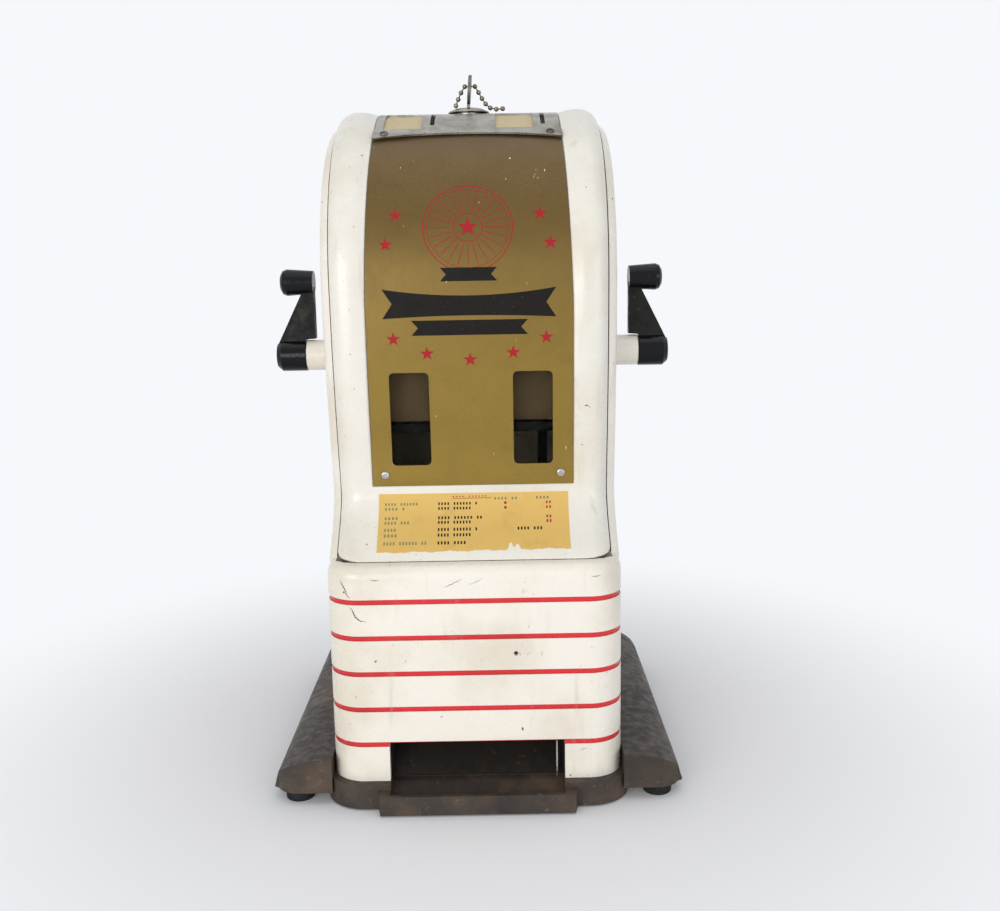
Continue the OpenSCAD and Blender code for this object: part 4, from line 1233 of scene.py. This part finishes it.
def make_camera():
    """A camera at the photograph's viewing angle."""
    ahead = Vector((math.sin(YAW) * math.cos(PITCH), math.cos(YAW) * math.cos(PITCH), -math.sin(PITCH)))
    level = Vector((math.cos(YAW), -math.sin(YAW), 0))
    up = level.cross(ahead)
    right = math.cos(ROLL) * level + math.sin(ROLL) * up
    up = -math.sin(ROLL) * level + math.cos(ROLL) * up
    turn = Matrix((right, up, -ahead)).transposed().to_4x4()
    turn.translation = Vector(CAMERA) * MM
    deselect()
    bpy.ops.object.camera_add()
    camera = bpy.context.object
    camera.name = "camera"
    camera.matrix_world = turn
    camera.data.sensor_width = SENSOR
    camera.data.lens = FOCAL * SENSOR / 1000
    bpy.context.scene.camera = camera


def lamp(name, place, target, size, power, colour):
    deselect()
    bpy.ops.object.light_add(type="AREA", location=place)
    light = bpy.context.object
    light.name = name
    light.data.shape = "RECTANGLE"
    light.data.size, light.data.size_y = size
    light.data.energy = power
    light.data.color = linear(colour)[:3]
    light.rotation_euler = (Vector(target) - Vector(place)).to_track_quat("-Z", "Y").to_euler()


def seen(tree):
    """1 where the camera looks, straight, by a mirror or through a clear sheet."""
    path = add(tree, "LightPath")
    share = path.outputs["Is Camera Ray"]
    for kind in ("Is Glossy Ray", "Is Transmission Ray"):
        share = add(tree, "Math", {0: share, 1: path.outputs[kind]}, operation="MAXIMUM").outputs[0]
    return share


def make_floor(look):
    """A pale floor that fades to plain white away from the machine."""
    deselect()
    bpy.ops.mesh.primitive_circle_add(vertices=96, radius=8, fill_type="NGON")
    floor = named("floor")
    made, tree, shader = material("Pale paper floor", {"Roughness": 0.9, "Specular IOR Level": 0.1})
    shader.inputs["Base Color"].default_value = (*look.floor_colour, 1)
    place = add(tree, "TexCoord")
    reach = add(tree, "VectorMath", {0: place.outputs["Object"]}, operation="LENGTH").outputs["Value"]
    fade = {"Value": reach, "From Min": 0.08, "From Max": 0.5}
    far = add(tree, "MapRange", fade, interpolation_type="SMOOTHSTEP").outputs[0]
    glow = add(tree, "Emission", {"Color": linear(WHITE), "Strength": 1.0})
    share = add(tree, "Math", {0: far, 1: seen(tree)}, operation="MULTIPLY")
    mixed = add(tree, "MixShader", {0: share.outputs[0], 1: shader.outputs[0], 2: glow.outputs[0]})
    tree.links.new(mixed.outputs[0], tree.nodes["Material Output"].inputs["Surface"])
    floor.data.materials.append(made)


def make_world():
    """Soft light from all round, seen as plain white."""
    world = bpy.data.worlds.new("studio")
    bpy.context.scene.world = world
    world.use_nodes = True
    tree = world.node_tree
    light = add(tree, "Background", {"Color": linear("#F4F6FA"), "Strength": 0.58})
    plain = add(tree, "Background", {"Color": linear(WHITE), "Strength": 1.0})
    mixed = add(tree, "MixShader", {0: seen(tree), 1: light.outputs[0], 2: plain.outputs[0]})
    tree.links.new(mixed.outputs[0], tree.nodes["World Output"].inputs["Surface"])


def make_stage(look):
    """The camera, floor and world, with two low lamps in front and a faint one above."""
    make_camera()
    make_floor(look)
    make_world()
    level = look.light_level
    lamp("key_light", (-0.95, -1.75, 0.35), (0, 0, 0.2), (1.3, 1.0), 19 * level, "#FFFDFA")
    lamp("fill_light", (1.4, -1.7, 0.35), (0, 0, 0.2), (1.3, 1.0), 8.5 * level, "#F6F9FF")
    lamp("top_light", (0.1, -0.3, 1.9), (0, 0, 0.3), (1.4, 1.4), 4 * level, "#FFFFFF")
    bpy.context.scene.view_settings.view_transform = "Standard"


# ---- Add-on ----


class VendingSizes(bpy.types.PropertyGroup):
    """Sizes that a user would change."""

    groove_height: bpy.props.FloatProperty(
        name="Groove height", description="Height of each painted groove", default=0.003, unit="LENGTH"
    )
    groove_depth: bpy.props.FloatProperty(
        name="Groove depth", description="Depth of each painted groove", default=0.001, unit="LENGTH"
    )
    edge_round: bpy.props.FloatProperty(
        name="Edge rounding", description="Rounding of the head's edges", default=0.009, unit="LENGTH"
    )


class VendingLook(bpy.types.PropertyGroup):
    """Light and floor."""

    light_level: bpy.props.FloatProperty(
        name="Light level", description="Strength of the lamps", default=1.0, min=0.1, max=4.0
    )
    floor_colour: bpy.props.FloatVectorProperty(
        name="Floor colour",
        description="Colour of the floor",
        default=linear("#F4F4F6")[:3],
        subtype="COLOR",
    )


FINISHES = {}


def finishes():
    """The materials, made once for all the operators."""
    if not FINISHES:
        FINISHES.update(make_materials())
    return FINISHES


class StageOperator(bpy.types.Operator):
    """Adds the camera, the floor, the lamps and the world."""

    bl_idname = "vending.stage"
    bl_label = "Stage"

    def execute(self, context):
        make_stage(context.scene.vending_look)
        return {"FINISHED"}


class CaseOperator(bpy.types.Operator):
    """Models the cast case with its painted grooves."""

    bl_idname = "vending.case"
    bl_label = "Case"

    def execute(self, context):
        make_case(context.scene.vending_sizes, finishes())
        make_scratches(finishes())
        return {"FINISHED"}


class CoverOperator(bpy.types.Operator):
    """Models the hinged cover."""

    bl_idname = "vending.cover"
    bl_label = "Cover"

    def execute(self, context):
        make_cover(finishes())
        return {"FINISHED"}


class PlatesOperator(bpy.types.Operator):
    """Models the plates, cards, panes and screws on the cover."""

    bl_idname = "vending.plates"
    bl_label = "Plates"

    def execute(self, context):
        make_face_plate(finishes())
        make_coin_plate(finishes())
        make_cards(finishes())
        make_windows(finishes())
        make_screws(finishes())
        return {"FINISHED"}


class PrintsOperator(bpy.types.Operator):
    """Lays the generic prints and the label."""

    bl_idname = "vending.prints"
    bl_label = "Prints"

    def execute(self, context):
        make_prints(finishes())
        make_label(finishes())
        return {"FINISHED"}


class LeversOperator(bpy.types.Operator):
    """Eases the levers and their handles."""

    bl_idname = "vending.levers"
    bl_label = "Levers"

    def execute(self, context):
        make_levers(finishes())
        return {"FINISHED"}


class BaseOperator(bpy.types.Operator):
    """Eases the base casting and its feet."""

    bl_idname = "vending.base"
    bl_label = "Base"

    def execute(self, context):
        make_base(finishes())
        return {"FINISHED"}


class LockOperator(bpy.types.Operator):
    """Eases the lock and its key."""

    bl_idname = "vending.lock"
    bl_label = "Lock"

    def execute(self, context):
        make_lock(finishes())
        return {"FINISHED"}


class InsideOperator(bpy.types.Operator):
    """Finishes the mechanism and the rear."""

    bl_idname = "vending.inside"
    bl_label = "Inside"

    def execute(self, context):
        paint_inside(finishes())
        return {"FINISHED"}


OPERATORS = (
    StageOperator,
    CaseOperator,
    CoverOperator,
    PlatesOperator,
    PrintsOperator,
    LeversOperator,
    BaseOperator,
    LockOperator,
    InsideOperator,
)


class VendingPanel(bpy.types.Panel):
    """Lists the machine's pieces in the sidebar."""

    bl_idname = "VIEW3D_PT_vending"
    bl_label = "Vending machine"
    bl_space_type = "VIEW_3D"
    bl_region_type = "UI"
    bl_category = "Vending"

    def draw(self, context):
        for group in (context.scene.vending_sizes, context.scene.vending_look):
            for name in group.__annotations__:
                self.layout.prop(group, name)
        for operator in OPERATORS:
            self.layout.operator(operator.bl_idname)


CLASSES = (VendingSizes, VendingLook, *OPERATORS, VendingPanel)


def register():
    for cls in CLASSES:
        bpy.utils.register_class(cls)
    bpy.types.Scene.vending_sizes = bpy.props.PointerProperty(type=VendingSizes)
    bpy.types.Scene.vending_look = bpy.props.PointerProperty(type=VendingLook)


def unregister():
    del bpy.types.Scene.vending_sizes
    del bpy.types.Scene.vending_look
    for cls in reversed(CLASSES):
        bpy.utils.unregister_class(cls)


def main():
    register()
    for operator in OPERATORS:
        group, name = operator.bl_idname.split(".")
        getattr(getattr(bpy.ops, group), name)()


if __name__ == "__main__":
    main()
